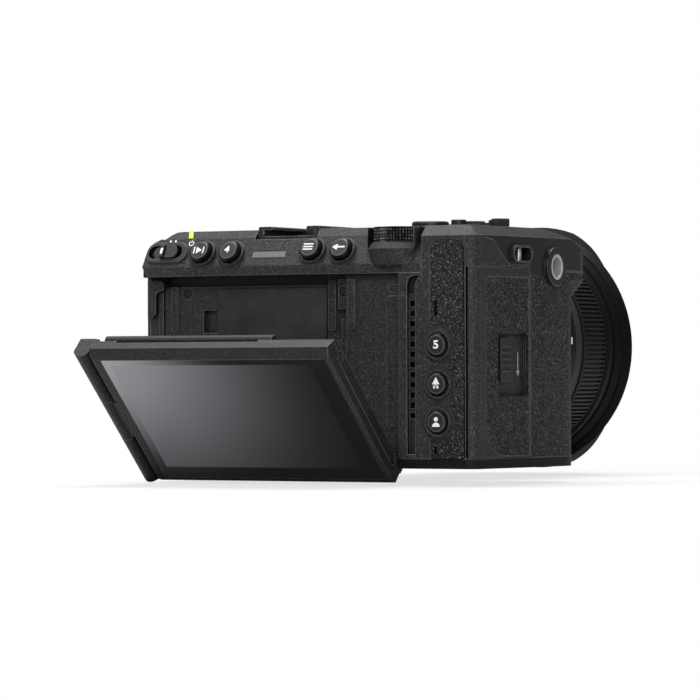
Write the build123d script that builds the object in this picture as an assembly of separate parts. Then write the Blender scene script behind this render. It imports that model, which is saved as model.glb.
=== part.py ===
from build123d import *
import os
from math import cos, pi, radians, sin, tan

# Compact cinema camera with a zoom lens, lens hood and tilting screen.
# Millimetres. +Z is up, the lens looks along -Y, the grip is on the -X side.
# The origin is the tripod thread in the base, under the lens axis.

# Casing
REAR_Y = 26.0            # thumb face, and the band below the rear buttons
FRONT_Y = -33.0          # front casing face
LEFT_X = 57.0            # port side of the casing
SIDE_X = -71.2           # widest face of the grip
TOP_Z = 75.0             # top plate
WALL = 2.0               # casing wall
BASE_H = 3.0             # height of the base plate with its rim
OVER_Z = 60.5            # underside of the housing above the screen recess
CREASE_Z = 63.5          # lower edge of the sloped button bank
BANK_TILT = 27.0         # slope of the button bank, from upright
BANK_H = 9.0             # height of the button bank
OVER_X = 53.0            # left end of the button bank
RAMP_X = 42.4            # where the top plate drops towards the port side
RAMP_DROP = 2.4          # how far it drops
GRIP_X = -41.15          # inner face of the grip side, and of the recess post
BANK_END_X = -49.3       # grip-side end of the sloped button bank
POST_W = 3.0             # post between the screen recess and the vents
THUMB_X = -47.0          # start of the thumb face
SHELL_GAP = 0.25         # gap round doors, covers and other loose-fitted pieces
BANK_TOP_Z = CREASE_Z + BANK_H
BANK_TOP_Y = REAR_Y - BANK_H * tan(radians(BANK_TILT))

# Grip
GRIP_FRONT_Y = -50.0     # finger ledge at the top of the grip
GRIP_LOW_Y = -44.5       # front of the grip below the ledge
GRIP_TOP_R = 12.0
GRIP_LOW_R = 16.0
LEDGE_Z = 53.2           # where the ledge starts to swell out
EDGE_BEVEL = 3.1         # bevel along the grip's top edge
CORNER_R = 3.4           # upright corner between the thumb face and the grip's side
SLOPE_Y = -17.0          # where the grip's top starts to slope down to the front

# Screen recess
FLOOR_Y = 19.6           # floor of the recess behind the link plate
STEP_Y = 23.4            # raised floor on the grip side
STEP_X = -21.0           # where the raised floor starts

# Lens axis and mount
LENS_Z = 38.6
FLANGE_Y = -38.7         # lens mount flange
MOUNT_R = 31.0           # outside radius of the mount ring
THROAT_R = 24.0          # inside radius of the mount ring
LENS_R = 37.4            # radius of the rubber-ribbed rings
LENS_LENGTH = 94.3       # flange to the front rim
FILTER_R = 33.5          # 67 mm filter thread
RIM_R = FILTER_R + 3.0   # front rim round it
HOOD_R = 41.55           # hood rim
HOOD_SIDE = 6.3          # how far the hood's sides stand past the lens
HOOD_PETAL = 15.2        # how far its top and bottom petals stand past it
LENS_FRONT_Y = FLANGE_Y - LENS_LENGTH
RING_GAP = 0.15          # gap between neighbouring rings of the lens

# Screen, in its own directions: u to the right, s up along it, n out of its face
SCREEN_TILT = 45.4       # how far the screen is tilted out of the recess
PIVOT_Y = 21.0           # tilt pin, at the foot of the recess
PIVOT_Z = 2.0
PANEL_LEFT = -44.7
PANEL_RIGHT = 41.0
PANEL_LOW = 16.7
PANEL_HIGH = 75.7
PANEL_FACE = 24.1        # height n of the bezel
PANEL_BACK = 18.6        # height n of the case's back
FRAME_BACK = 16.6        # height n of the tilt frame's back
FRAME_T = 1.7
LINK_BACK = 14.5
LINK_T = 1.4
LINK_LEFT = -37.0
LINK_RIGHT = 14.0
KNUCKLE_L = 4.6          # barrels of the frame beside the link's long barrel
SWING_U = -48.0          # axis of the side hinge
SWING_N = 21.3
SWING_R = 2.9
ARM_LOW = 36.8           # swing arm, between the two barrels of the side hinge
ARM_HIGH = 53.3
BARREL_LOW = 17.4
HINGE_R = 1.7            # barrels of the two tilt hinges
PIN_R = 0.9
RUN = 0.05               # running clearance of a pin in its bore

# Controls
BUTTON_R = 3.55          # caps on the button bank
COLLAR_R = 4.85
COLLAR_H = 1.1
CAP_H = 2.9              # how far a cap stands out of the bank
TRAVEL = 0.5             # how far a button travels
CAP_GAP = 0.35           # gap round a cap
DIAL_X, DIAL_Y, DIAL_R = -38.0, 20.0, 7.8
DIAL_LOW, DIAL_HIGH = 70.2, 74.9

parts = {}


def block(x0, x1, y0, y1, z0, z1):
    """Box between two corners."""
    size = (abs(x1 - x0), abs(y1 - y0), abs(z1 - z0))
    return Pos((x0 + x1) / 2, (y0 + y1) / 2, (z0 + z1) / 2) * Box(*size)


def rod_x(x0, x1, y, z, r):
    """Cylinder along X."""
    return Pos((x0 + x1) / 2, y, z) * Rot(0, 90, 0) * Cylinder(r, abs(x1 - x0))


def rod_y(y0, y1, x, z, r):
    """Cylinder along Y."""
    return Pos(x, (y0 + y1) / 2, z) * Rot(90, 0, 0) * Cylinder(r, abs(y1 - y0))


def rod_z(z0, z1, x, y, r):
    """Cylinder along Z."""
    return Pos(x, y, (z0 + z1) / 2) * Cylinder(r, abs(z1 - z0))


def turned(points):
    """Solid turned about the lens axis from (radius, Y) points."""
    face = make_face(Polyline(*[(r, y) for r, y in points], close=True))
    axis = Axis((0, 0, LENS_Z), (0, 1, 0))
    return revolve(Pos(0, 0, LENS_Z) * face, axis, 360)


def prism_x(points, x0, x1, inset=0.0):
    """Outline of (Y, Z) points, drawn in by inset, run along X."""
    face = make_face(Polyline(*points, close=True))
    if inset:
        face = offset(face, -inset, kind=Kind.INTERSECTION)
    plane = Plane(origin=(x0, 0, 0), x_dir=(0, 1, 0), z_dir=(1, 0, 0))
    return extrude(plane * face, x1 - x0)


def outline(points, rounds, inset=0.0):
    """Flat outline with its own radius at each corner."""
    face = make_face(Polyline(*points, close=True))
    corners = {}
    for point, radius in zip(points, rounds):
        if radius > 0:
            near = face.vertices().sort_by_distance((point[0], point[1], 0))[0]
            corners.setdefault(radius, []).append(near.center())
    for radius, centres in corners.items():
        found = [face.vertices().sort_by_distance(c)[0] for c in centres]
        face = fillet(found, radius)
    if inset:
        face = offset(face, -inset, kind=Kind.INTERSECTION)
    return face


def upright(face, z0, z1):
    """Flat outline in X and Y, raised from z0 to z1."""
    return extrude(Pos(0, 0, z0) * face, z1 - z0)


def plate_y(points, rounds, y0, y1):
    """Plate in the XZ plane between y0 and y1, from (X, Z) points."""
    face = outline([(-x, z) for x, z in points], rounds)
    plane = Plane(origin=(0, y0, 0), x_dir=(-1, 0, 0), z_dir=(0, 1, 0))
    return extrude(plane * face, y1 - y0)


def plate_x(points, rounds, x0, x1):
    """Plate in the YZ plane between x0 and x1, from (Y, Z) points."""
    face = outline(points, rounds)
    plane = Plane(origin=(x0, 0, 0), x_dir=(0, 1, 0), z_dir=(1, 0, 0))
    return extrude(plane * face, x1 - x0)


# Outer form of the casing

MAIN_PROFILE = [
    (FRONT_Y + 2.5, 0.0), (FLOOR_Y, 0.0), (FLOOR_Y, OVER_Z), (REAR_Y, OVER_Z),
    (REAR_Y, CREASE_Z), (BANK_TOP_Y, BANK_TOP_Z), (BANK_TOP_Y - 2.2, TOP_Z),
    (FRONT_Y + 4.0, TOP_Z), (FRONT_Y, TOP_Z - 4.0), (FRONT_Y, 2.5),
]
GRIP_POINTS = [
    (GRIP_X, REAR_Y), (SIDE_X + 3.4, REAR_Y), (SIDE_X, -14.0), (SIDE_X, GRIP_LOW_Y),
    (GRIP_X - 2.0, GRIP_LOW_Y), (GRIP_X, FRONT_Y), (GRIP_X, 0.0),
]
GRIP_ROUNDS = [0, CORNER_R, 0, GRIP_LOW_R, 6.0, 0, 0]
LEDGE_POINTS = [
    (GRIP_X, -12.0), (SIDE_X, -14.0), (SIDE_X, GRIP_FRONT_Y),
    (GRIP_X - 2.0, GRIP_FRONT_Y), (GRIP_X, FRONT_Y),
]
LEDGE_ROUNDS = [0, 0, GRIP_TOP_R, 7.0, 0]
CROWN_POINTS = [
    (GRIP_X + 9, REAR_Y), (SIDE_X + 3.4, REAR_Y), (SIDE_X, -14.0), (SIDE_X, GRIP_FRONT_Y),
    (GRIP_X - 2.0, GRIP_FRONT_Y), (GRIP_X, FRONT_Y), (GRIP_X + 9, FRONT_Y),
]
CROWN_ROUNDS = [0, CORNER_R, 0, GRIP_TOP_R, 7.0, 0, 0]
# The grip's top falls to the front in three rounded steps.
SLOPE_POINTS = [
    (60, -10), (60, TOP_Z), (SLOPE_Y, TOP_Z), (-34.0, 71.6), (-46.0, 66.2), (GRIP_FRONT_Y, 61.0),
    (GRIP_FRONT_Y, -10),
]
SLOPE_ROUNDS = [0, 0, 20.0, 16.0, 6.0, 5.0, 0]
# Above the bank's lower edge, the grip gives way to the bank's slope.
BANK_CUT = [(REAR_Y, CREASE_Z), (BANK_TOP_Y, BANK_TOP_Z), (BANK_TOP_Y - 2.2, TOP_Z), (BANK_TOP_Y - 2.2, 95),
            (60, 95), (60, CREASE_Z)]


def casing(inset=0.0):
    """Outer form of the casing, or the same form drawn in by inset."""
    main = prism_x(MAIN_PROFILE, BANK_END_X - inset, LEFT_X - inset * 1.5, inset)
    # The top plate drops and rounds off towards the port side.
    top = TOP_Z - inset
    end = LEFT_X - inset
    side_cut = [
        (-90, -10), (end, -10), (end, top - 9.0), (end - 1.2, top - 5.0),
        (end - 4.2, top - RAMP_DROP), (RAMP_X + 4.6 - inset, top - RAMP_DROP),
        (RAMP_X + 3.2 - inset, top - 0.5 * RAMP_DROP), (RAMP_X + 1.4 - inset, top - 0.08 * RAMP_DROP),
        (RAMP_X - 0.6 - inset, top), (RAMP_X - 0.6 - inset, top + 9), (-90, top + 9),
    ]
    plane = Plane(origin=(0, 60, 0), x_dir=(1, 0, 0), z_dir=(0, -1, 0))
    main &= extrude(plane * make_face(Polyline(*side_cut, close=True)), 120)
    end = OVER_X - inset
    rear_cut = [
        (-90, -10), (end, -10), (end, CREASE_Z + 0.3), (end - 1.0, CREASE_Z + 3.2),
        (end - 1.8, CREASE_Z + 5.4), (end - 2.9, CREASE_Z + 7.0), (end - 4.8, CREASE_Z + 8.2),
        (end - 6.7, BANK_TOP_Z), (end - 7.0, TOP_Z + 6), (-90, TOP_Z + 6),
    ]
    rear_plane = Plane(origin=(0, REAR_Y - inset, 0), x_dir=(1, 0, 0), z_dir=(0, -1, 0))
    rear_face = rear_plane * make_face(Polyline(*rear_cut, close=True))
    main &= extrude(rear_face, 170, dir=(0.5, -0.866, 0))
    low = upright(outline(GRIP_POINTS, GRIP_ROUNDS, inset), inset, TOP_Z - EDGE_BEVEL)
    ledge = upright(outline(LEDGE_POINTS, LEDGE_ROUNDS, inset), LEDGE_Z + inset, TOP_Z - EDGE_BEVEL)
    foot = [e for e in ledge.edges() if e.center().Z < LEDGE_Z + inset + 0.01 and e.center().Y < -20]
    ledge = chamfer(foot, 5.5, 4.3)
    crown = Pos(0, 0, TOP_Z - EDGE_BEVEL) * outline(CROWN_POINTS, CROWN_ROUNDS, inset)
    crown = extrude(crown, EDGE_BEVEL - inset, taper=45)
    crown -= block(GRIP_X - inset, GRIP_X + 30, -60, 40, 60, 90)
    grip = low + ledge + crown
    slope_face = outline(SLOPE_POINTS, SLOPE_ROUNDS, inset)
    cut_face = make_face(Polyline(*BANK_CUT, close=True))
    if inset:
        cut_face = offset(cut_face, inset, kind=Kind.INTERSECTION)
    across = Plane(origin=(-90, 0, 0), x_dir=(0, 1, 0), z_dir=(1, 0, 0))
    grip &= extrude(across * slope_face, 90)
    across = Plane(origin=(BANK_END_X - inset, 0, 0), x_dir=(0, 1, 0), z_dir=(1, 0, 0))
    grip -= extrude(across * cut_face, 30)
    return main + grip


OUTER = casing()
INNER = casing(WALL)
# The rear edge on the port side is bevelled below the button bank.
edge_face = make_face(Polyline(
    (LEFT_X - 2.0, FLOOR_Y + 1), (LEFT_X - 2.0, FLOOR_Y), (LEFT_X + 1, FLOOR_Y - 5.2),
    (LEFT_X + 4, FLOOR_Y + 1), close=True))
EDGE_CUT = upright(edge_face, -1, OVER_Z)
# The lower lip of the button bank runs in at its port-side end.
lip_plane = Plane(origin=(0, REAR_Y + 1, 0), x_dir=(1, 0, 0), z_dir=(0, -1, 0))
LIP_TOP = CREASE_Z + 0.3
lip_face = Polyline((OVER_X - 2.5, OVER_Z - 0.1), (OVER_X - 0.4, LIP_TOP), (OVER_X + 4, LIP_TOP),
                    (OVER_X + 4, OVER_Z - 0.1), close=True)
LIP_CUT = extrude(lip_plane * make_face(lip_face), 8.5, dir=(0.5, -0.866, 0))
SHELL = OUTER - INNER - EDGE_CUT - LIP_CUT
SKIN_T = 0.8             # thickness of the leather and of the gloss panel
SKIN = OUTER - casing(SKIN_T)

# Button bank: x runs towards the grip, t up the slope, h out of it
TILT = radians(BANK_TILT)
BANK = Plane(origin=(0, REAR_Y, CREASE_Z), x_dir=(-1, 0, 0), z_dir=(0, cos(TILT), sin(TILT)))
# Side face of the grip: forward from the rear corner, up, and out
SIDE_RUN = Vector(SIDE_X - (SIDE_X + 3.4), -14.0 - REAR_Y, 0).normalized()
SIDE = Plane(origin=(SIDE_X + 3.4, REAR_Y, 0), x_dir=SIDE_RUN, z_dir=SIDE_RUN.cross(Vector(0, 0, 1)))
# Screen: u to the right, s up along the screen, n out of its face
LEAN = radians(SCREEN_TILT)
SCREEN = Plane(origin=(0, 0, 0), x_dir=(-1, 0, 0), z_dir=(0, cos(LEAN), -sin(LEAN)))
PIVOT_S = PIVOT_Y * sin(LEAN) + PIVOT_Z * cos(LEAN)
PIVOT_N = PIVOT_Y * cos(LEAN) - PIVOT_Z * sin(LEAN)


def on(plane, solid):
    """Solid drawn in a plane's own directions, moved to its place."""
    return plane.location * solid


def softened(solid, pick, radius):
    """Solid with the picked edges rounded."""
    return fillet(pick(solid.edges()), radius)


# Where the casing comes apart

SPLIT_Y = 6.2            # rear casing meets front casing
SPLIT_X = LEFT_X - WALL * 1.5
CROWN_Z = TOP_Z - EDGE_BEVEL
TOP_ZONE = block(-90, 90, -60, 40, CROWN_Z, 90) + block(BANK_END_X, 90, SPLIT_Y, 40, OVER_Z, CROWN_Z)
FRONT_ZONE = block(GRIP_X, SPLIT_X, -60, SPLIT_Y, BASE_H, CROWN_Z)
GRIP_ZONE = block(-90, GRIP_X, -60, SPLIT_Y, BASE_H, CROWN_Z)
REAR_ZONE = block(-90, SPLIT_X, SPLIT_Y, 40, BASE_H, CROWN_Z) - TOP_ZONE
LEFT_ZONE = block(SPLIT_X, 90, -60, 40, BASE_H, CROWN_Z) - TOP_ZONE
BASE_ZONE = block(-90, 90, -60, 40, -5, BASE_H)

# Housing of the rear dial: a cup that stands out of the bank, open to the rear above its bevelled lip
HOUSING_R = DIAL_R + 1.85
HOUSING_LOW = CREASE_Z - 0.7
LIP_Z = DIAL_LOW - 2.1
FLOOR_Z = DIAL_LOW - 0.2
WINDOW = DIAL_R + 0.3


def about_dial(points):
    """Solid turned about the rear dial's axis from (radius, Z) points."""
    face = Plane.XZ * make_face(Polyline(*points, close=True))
    return Pos(DIAL_X, DIAL_Y, 0) * revolve(face, Axis.Z, 360)


CUP = about_dial([(0, HOUSING_LOW), (HOUSING_R - 1.5, HOUSING_LOW), (HOUSING_R - 1.1, HOUSING_LOW + 0.5),
                  (HOUSING_R, LIP_Z), (HOUSING_R, TOP_Z - 0.3), (0, TOP_Z - 0.3)])
bevel = about_dial([(DIAL_R + 0.5, FLOOR_Z), (HOUSING_R + 0.01, LIP_Z), (HOUSING_R + 2, LIP_Z),
                    (HOUSING_R + 2, FLOOR_Z)])
window = block(DIAL_X - WINDOW, DIAL_X + WINDOW, DIAL_Y, 40, LIP_Z - 1, 90)
housing = CUP - (bevel & window) - (window & block(-90, 90, -60, 40, FLOOR_Z, 90))

# Card door, in the side and round the rear corner of the grip
DOOR_Y = -5.3
DOOR_Z = (3.4, 62.0)
DOOR_PIN = (-65.7, 25.05)
DOOR_KNUCKLE = 0.8
STUB_R = 0.5             # pins of the small doors
door_hole = block(-90, DOOR_PIN[0] + DOOR_KNUCKLE + SHELL_GAP, DOOR_Y - SHELL_GAP, 40,
                  DOOR_Z[0] - SHELL_GAP, DOOR_Z[1] + SHELL_GAP)

# Gloss panel round the top corner of the grip, with the strap slot and the side thread
THREAD_Y, THREAD_Z, THREAD_R = -20.5, 62.85, 3.175
BOSS_R, BOSS_OUT = 6.3, 1.3
gloss_points = [
    (20.5, CROWN_Z), (18.5, 70.9), (15.3, 70.6), (7.6, 63.9), (5.0, 63.1), (-5.4, 63.1), (-5.8, 59.9),
    (-12.6, 59.5), (-16.7, 61.4), (-29.9, 62.0), (-60.0, 61.3), (-60.0, CROWN_Z),
]
gloss_zone = prism_x(gloss_points, -90, -54.0)
gloss = SKIN & gloss_zone
boss_x = SIDE_X
boss = rod_x(boss_x - BOSS_OUT, boss_x + SKIN_T, THREAD_Y, THREAD_Z, BOSS_R)
boss = softened(boss, lambda e: e.filter_by(GeomType.CIRCLE).sort_by(Axis.X)[0], 0.5)
insert_hole = rod_x(-80, boss_x + 9, THREAD_Y, THREAD_Z, 4.0)
strap_z = (64.4, 68.5)
strap_y = (-6.4, 4.9)
STRAP_BAR_Y = -2.4


def strap_slot(x0, x1, grow):
    """Slot for a strap, with round ends, grown all round."""
    height = strap_z[1] - strap_z[0] + 2 * grow
    length = strap_y[1] - strap_y[0] + 2 * grow
    plane = Plane(origin=(x0, sum(strap_y) / 2, sum(strap_z) / 2), x_dir=(0, 1, 0), z_dir=(1, 0, 0))
    return extrude(plane * SlotOverall(length, height), x1 - x0)


EYELET_T = 0.7
strap_hole = strap_slot(-74, -63.8, EYELET_T)
parts["gloss_panel"] = gloss + boss - insert_hole - strap_hole

# Leather of the grip, in its own shallow seat
leather_zone = block(-90, GRIP_X - 2.2, -60, -6.2, BASE_H + 0.2, 61.4) - gloss_zone
grip_leather = (SKIN & leather_zone) - boss
parts["grip_leather"] = grip_leather
grip_skin = gloss + boss + grip_leather

# Thumb face: leather cut round three buttons, a slit for the microphone, vents and a post
BUTTON_X = -55.2
BUTTON_ZS = (38.1, 26.1, 14.4)
LEATHER_OUT = 0.3
SEAM = 0.25              # groove round the leather and along the casing's joints
thumb_points = [(-52.5, 3.2), (-52.5, 70.3), (-64.0, 70.3), (-64.25, 3.2)]
thumb_rounds = [1.2, 3.4, 3.6, 1.2]
thumb_seat = plate_y(thumb_points, thumb_rounds, REAR_Y - SKIN_T, REAR_Y + LEATHER_OUT)
groove_points = [(-52.5 + SEAM, 3.2 - SEAM), (-52.5 + SEAM, 70.3 + SEAM), (-64.0 - SEAM, 70.3 + SEAM),
                 (-64.25 - SEAM, 3.2 - SEAM)]
thumb_groove = plate_y(groove_points, thumb_rounds, REAR_Y - 0.55, REAR_Y + 1)
button_bay = block(BUTTON_X - 3.9, -50.0, 20, 30, 9.0, 44.4)
for z in BUTTON_ZS:
    button_bay += rod_y(20, 30, BUTTON_X, z, 6.0)
mic_slit = block(-54.9, -53.9, REAR_Y - 1.6, 30, 47.2, 51.8)
mic_slit += block(-54.8, -53.8, REAR_Y - 1.2, 30, 4.4, 6.8)
thumb_seat -= button_bay
thumb_groove -= button_bay
parts["thumb_leather"] = thumb_seat - mic_slit

VENT_COUNT, VENT_PITCH, VENT_TOP = 12, 3.15, 51.9
VENT_X = (THUMB_X + 0.45, GRIP_X - POST_W - 0.3)
POST_X = GRIP_X - POST_W
FLARE_Z = OVER_Z - 0.9   # underside of the bank's lip above the channel
channel_points = [
    (POST_X, BASE_H + 1.5), (POST_X, FLARE_Z - 2.6), (POST_X - 0.7, FLARE_Z - 0.7), (POST_X - 2.4, FLARE_Z),
    (BANK_END_X, FLARE_Z), (BANK_END_X + 1.4, FLARE_Z - 0.9), (THUMB_X, FLARE_Z - 2.7),
    (THUMB_X, BASE_H + 1.5),
]
channel = plate_y(channel_points, [0] * 8, REAR_Y - 1.3, 30)
pocket_points = [(x, max(z, 54.0)) for x, z in channel_points]
channel += plate_y(pocket_points, [0] * 8, REAR_Y - 1.9, 30)
# Round flare where the post meets the bank
flare_arc = ThreePointArc((GRIP_X, OVER_Z - 3.0), (GRIP_X + 0.8, OVER_Z - 0.8), (GRIP_X + 3.0, OVER_Z))
flare_face = make_face(flare_arc + Polyline((GRIP_X + 3.0, OVER_Z), (GRIP_X - 0.5, OVER_Z),
                                            (GRIP_X - 0.5, OVER_Z - 3.0), (GRIP_X, OVER_Z - 3.0)))
post_flare = extrude(Plane(origin=(0, STEP_Y - 0.2, 0), x_dir=(1, 0, 0), z_dir=(0, -1, 0)) * flare_face,
                     STEP_Y - 0.2 - REAR_Y)
vents = [
    block(*VENT_X, 15, 30, VENT_TOP - i * VENT_PITCH - 1.75, VENT_TOP - i * VENT_PITCH)
    for i in range(VENT_COUNT)
]
TCOLLAR_R, TCOLLAR_H = 4.9, 0.9
thumb_cap = 3.6
thumb_holes = [rod_y(20, 30, BUTTON_X, z, thumb_cap + CAP_GAP) for z in BUTTON_ZS]
thumb_collars = []
for z in BUTTON_ZS:
    collar = rod_y(REAR_Y - 1, REAR_Y + TCOLLAR_H, BUTTON_X, z, TCOLLAR_R)
    thumb_collars.append(softened(collar, lambda e: e.filter_by(GeomType.CIRCLE).sort_by(Axis.Y)[-1], 0.4))

# Rear casing with the floor of the screen recess
step = block(GRIP_X, STEP_X, FLOOR_Y - WALL, STEP_Y, BASE_H, OVER_Z)
step -= block(GRIP_X, STEP_X - WALL, 0, STEP_Y - WALL, BASE_H + 2, OVER_Z - 2)
STRIP_X, STRIP_Y = (-21.5, -17.3), 22.0   # raised strip beside the grip-side floor
step += block(*STRIP_X, FLOOR_Y - WALL, STRIP_Y, BASE_H, 58.9)
step -= block(STRIP_X[0], STRIP_X[1] - WALL, 0, STRIP_Y - WALL, BASE_H + 2, 56.9)
rim_points = [(53.9, 59.4), (48.8, 59.4), (47.9, 58.5), (47.9, 56.3), (50.1, 55.7), (50.9, 54.6),
              (50.9, 48.7), (52.8, 47.0), (53.9, 47.0)]
rim = plate_y(rim_points, [0] * 9, FLOOR_Y - 0.5, FLOOR_Y + 1.8)
edge_strip = block(48.6, 50.4, FLOOR_Y - 0.5, FLOOR_Y + 0.5, 8.0, 55.6)
edge_strip -= block(48, 51, FLOOR_Y + 0.3, FLOOR_Y + 1, 51.5, 51.75)
rim += edge_strip
rim -= block(SPLIT_X, 60, 0, FLOOR_Y, 0, 80)
BARS = [(43.1, 45.8, 42.9, 58.6, FLOOR_Y), (-15.5, -12.6, 42.8, 58.6, FLOOR_Y),
        (-24.3, -21.9, 43.0, 58.9, STEP_Y)]
floor_bars = []
for x0, x1, z0, z1, y in BARS:
    corners = [(x0, z0), (x1, z0), (x1, z1), (x0, z1)]
    floor_bars.append(plate_y(corners, [1.15, 1.15, 0.5, 0.5], y - 0.5, y + 0.6))
panel_points = [(-35.5, 12.8), (GRIP_X, 12.8), (GRIP_X, 53.5), (-35.5, 53.5)]
side_panel = plate_y(panel_points, [0.6, 0, 0, 1.5], STEP_Y - 0.5, STEP_Y + 0.35)
floor_cuts = block(28.4, 33.7, FLOOR_Y - 1.4, 30, 42.5, 49.6)
floor_cuts += block(-20.3, -17.3, FLOOR_Y, 30, 46.5, 49.6)
floor_cuts += block(-18.6, -17.3, FLOOR_Y, 30, 39.9, 46.5)
floor_cuts += block(48.2, 48.6, FLOOR_Y - 0.5, 30, 8.0, 56.0)
floor_cuts += block(-12.4, 47.8, FLOOR_Y - 1.6, 30, 57.2, OVER_Z)
LUG_XS = ((30.2, 34.2), (-17.2, -13.2))
lugs = []
for x0, x1 in LUG_XS:
    lug = rod_x(x0, x1, PIVOT_Y, PIVOT_Z, HINGE_R)
    lug += block(x0, x1, FLOOR_Y - 1, PIVOT_Y, PIVOT_Z - HINGE_R, PIVOT_Z + HINGE_R)
    lugs.append(lug - rod_x(x0, x1, PIVOT_Y, PIVOT_Z, PIN_R))
SCREW_R, SCREW_HEAD, SCREW_DEPTH = 0.9, 1.7, 0.7
HEAD_R = 1.3             # heads of the four screws in the recess
floor_screws = [(39.9, FLOOR_Y, 55.1), (-19.3, STRIP_Y, 55.1), (39.9, FLOOR_Y, 8.0), (-19.3, STRIP_Y, 8.0)]


def seam_y(points, y, depth=0.35):
    """Fine groove along (X, Z) points, cut into a face at y."""
    line = Polyline(*[(-x, z) for x, z in points])
    plane = Plane(origin=(0, y - depth, 0), x_dir=(-1, 0, 0), z_dir=(0, 1, 0))
    return extrude(plane * trace(line, SEAM), depth + 1)


tab_seam = seam_y([(GRIP_X, 57.1), (-36.9, 57.1), (-36.2, 56.6), (-36.0, 55.9), (-36.2, 55.2), (-36.9, 54.7),
                   (GRIP_X, 54.7)], STEP_Y)
joint_seam = seam_y([(-51.0, 62.8), (BANK_END_X, 61.6), (BANK_END_X, FLARE_Z)], REAR_Y, 0.5)
panel_seam = seam_y([(GRIP_X, 53.7), (POST_X, 53.7)], REAR_Y)

rear = (SHELL & REAR_ZONE) - CUP
rear += step + rim + side_panel + post_flare
for piece in floor_bars + thumb_collars:
    rear += piece
rear -= floor_cuts + channel + door_hole + thumb_seat + thumb_groove + gloss_zone.intersect(SKIN)
rear -= tab_seam + joint_seam + panel_seam
for hole in vents + thumb_holes:
    rear -= hole
for x, y, z in floor_screws:
    rear -= rod_y(y - SCREW_DEPTH, 30, x, z, SCREW_HEAD) + rod_y(10, 30, x, z, SCREW_R)
for x0, x1 in LUG_XS:
    rear -= block(x0, x1, FLOOR_Y - 1, 30, -5, PIVOT_Z + HINGE_R)
rear -= mic_slit
rear -= rod_x(LUG_XS[1][1], LUG_XS[0][0], PIVOT_Y, PIVOT_Z, HINGE_R + SHELL_GAP)
rear -= rod_z(50, DOOR_Z[1] + 1.5, *DOOR_PIN, STUB_R + RUN) + rod_z(0, 4, *DOOR_PIN, STUB_R + RUN)
parts["rear_shell"] = rear


# Card door: leather, recess with a sliding latch, and pins that run in the casing
side_run = [(REAR_Y - y) * 1.0036 for y in (12.7, -4.4)]
LATCH_Z = (26.8, 40.3)
LATCH_STROKE = 4.0
RECESS_D, RECESS_ABOVE = 1.7, 3.0
recess = on(SIDE, block(side_run[0], side_run[1], LATCH_Z[0] - LATCH_STROKE - 0.5, LATCH_Z[1] + 1.5,
                        -RECESS_D, RECESS_ABOVE))
recess_depth = RECESS_D + RECESS_ABOVE
recess = softened(recess, lambda e: e.filter_by(lambda k: abs(k.length - recess_depth) < 0.01), 1.2)
door = SHELL & block(-90, DOOR_PIN[0], DOOR_Y, 40, *DOOR_Z)
door += rod_z(*DOOR_Z, *DOOR_PIN, DOOR_KNUCKLE)
door += on(SIDE, block(side_run[0] - 0.6, side_run[1] + 0.4, 21.6, 42.5, -3.0, -1.0))
skin_points = [(19.4, 59.1), (-4.9, 59.1), (-4.9, 3.9), (19.4, 3.9)]
door_skin = SKIN & plate_x(skin_points, [2.5, 0, 0, 10.0], -90, -66.4)
door -= door_skin + recess
STEM_Z = (31.5, 36.5)
door -= on(SIDE, block(16.9, 19.1, STEM_Z[0] - LATCH_STROKE - 0.2, STEM_Z[1] + 0.2, -5, 0))
door += rod_z(DOOR_Z[0] - 1.3, DOOR_Z[1] + 1.3, *DOOR_PIN, STUB_R)
parts["card_door"] = door
parts["card_door_leather"] = door_skin - recess
knob = on(SIDE, block(15.1, 20.7, *LATCH_Z, -1.65, -0.1))
for i in range(5):
    knob += on(SIDE, Pos(17.9, 30.2 + i * 1.9, -0.1) * Rot(0, 90, 0) * Cylinder(0.55, 5.0))
knob += on(SIDE, block(17.0, 19.0, *STEM_Z, -3.1, -1.6))
knob += on(SIDE, block(15.2, 20.6, 28.5, 39.5, -3.85, -3.05))
parts["card_latch"] = knob

# Front, grip and port-side casings
MOUNT_BOSS_R = MOUNT_R + 1.6
BOSS_Y = FRONT_Y - 2.5
RELEASE = (40.0, 20.5, 3.9)
front = SHELL & FRONT_ZONE
front += turned([(0, FRONT_Y + WALL), (MOUNT_BOSS_R, FRONT_Y + WALL), (MOUNT_BOSS_R, BOSS_Y + 0.6),
                 (MOUNT_BOSS_R - 0.6, BOSS_Y), (0, BOSS_Y)])
front += rod_y(FRONT_Y - 0.8, FRONT_Y, RELEASE[0], RELEASE[1], RELEASE[2] + 1.4)
front -= turned([(0, -20), (THROAT_R + 1.0, -20), (THROAT_R + 1.0, -60), (0, -60)])
front -= rod_y(FRONT_Y - 5, -20, RELEASE[0], RELEASE[1], RELEASE[2] + CAP_GAP)
front -= strap_slot(LEFT_X - 7.4, 60, EYELET_T)
parts["front_shell"] = front
strap_pocket = strap_slot(-74, SIDE_X + 6.6, 0)
grip = SHELL & GRIP_ZONE
grip -= grip_skin + door_hole
grip += strap_slot(SIDE_X + 0.35, SIDE_X + 7.4, EYELET_T)
grip -= strap_pocket + insert_hole
parts["grip_shell"] = grip

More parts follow.
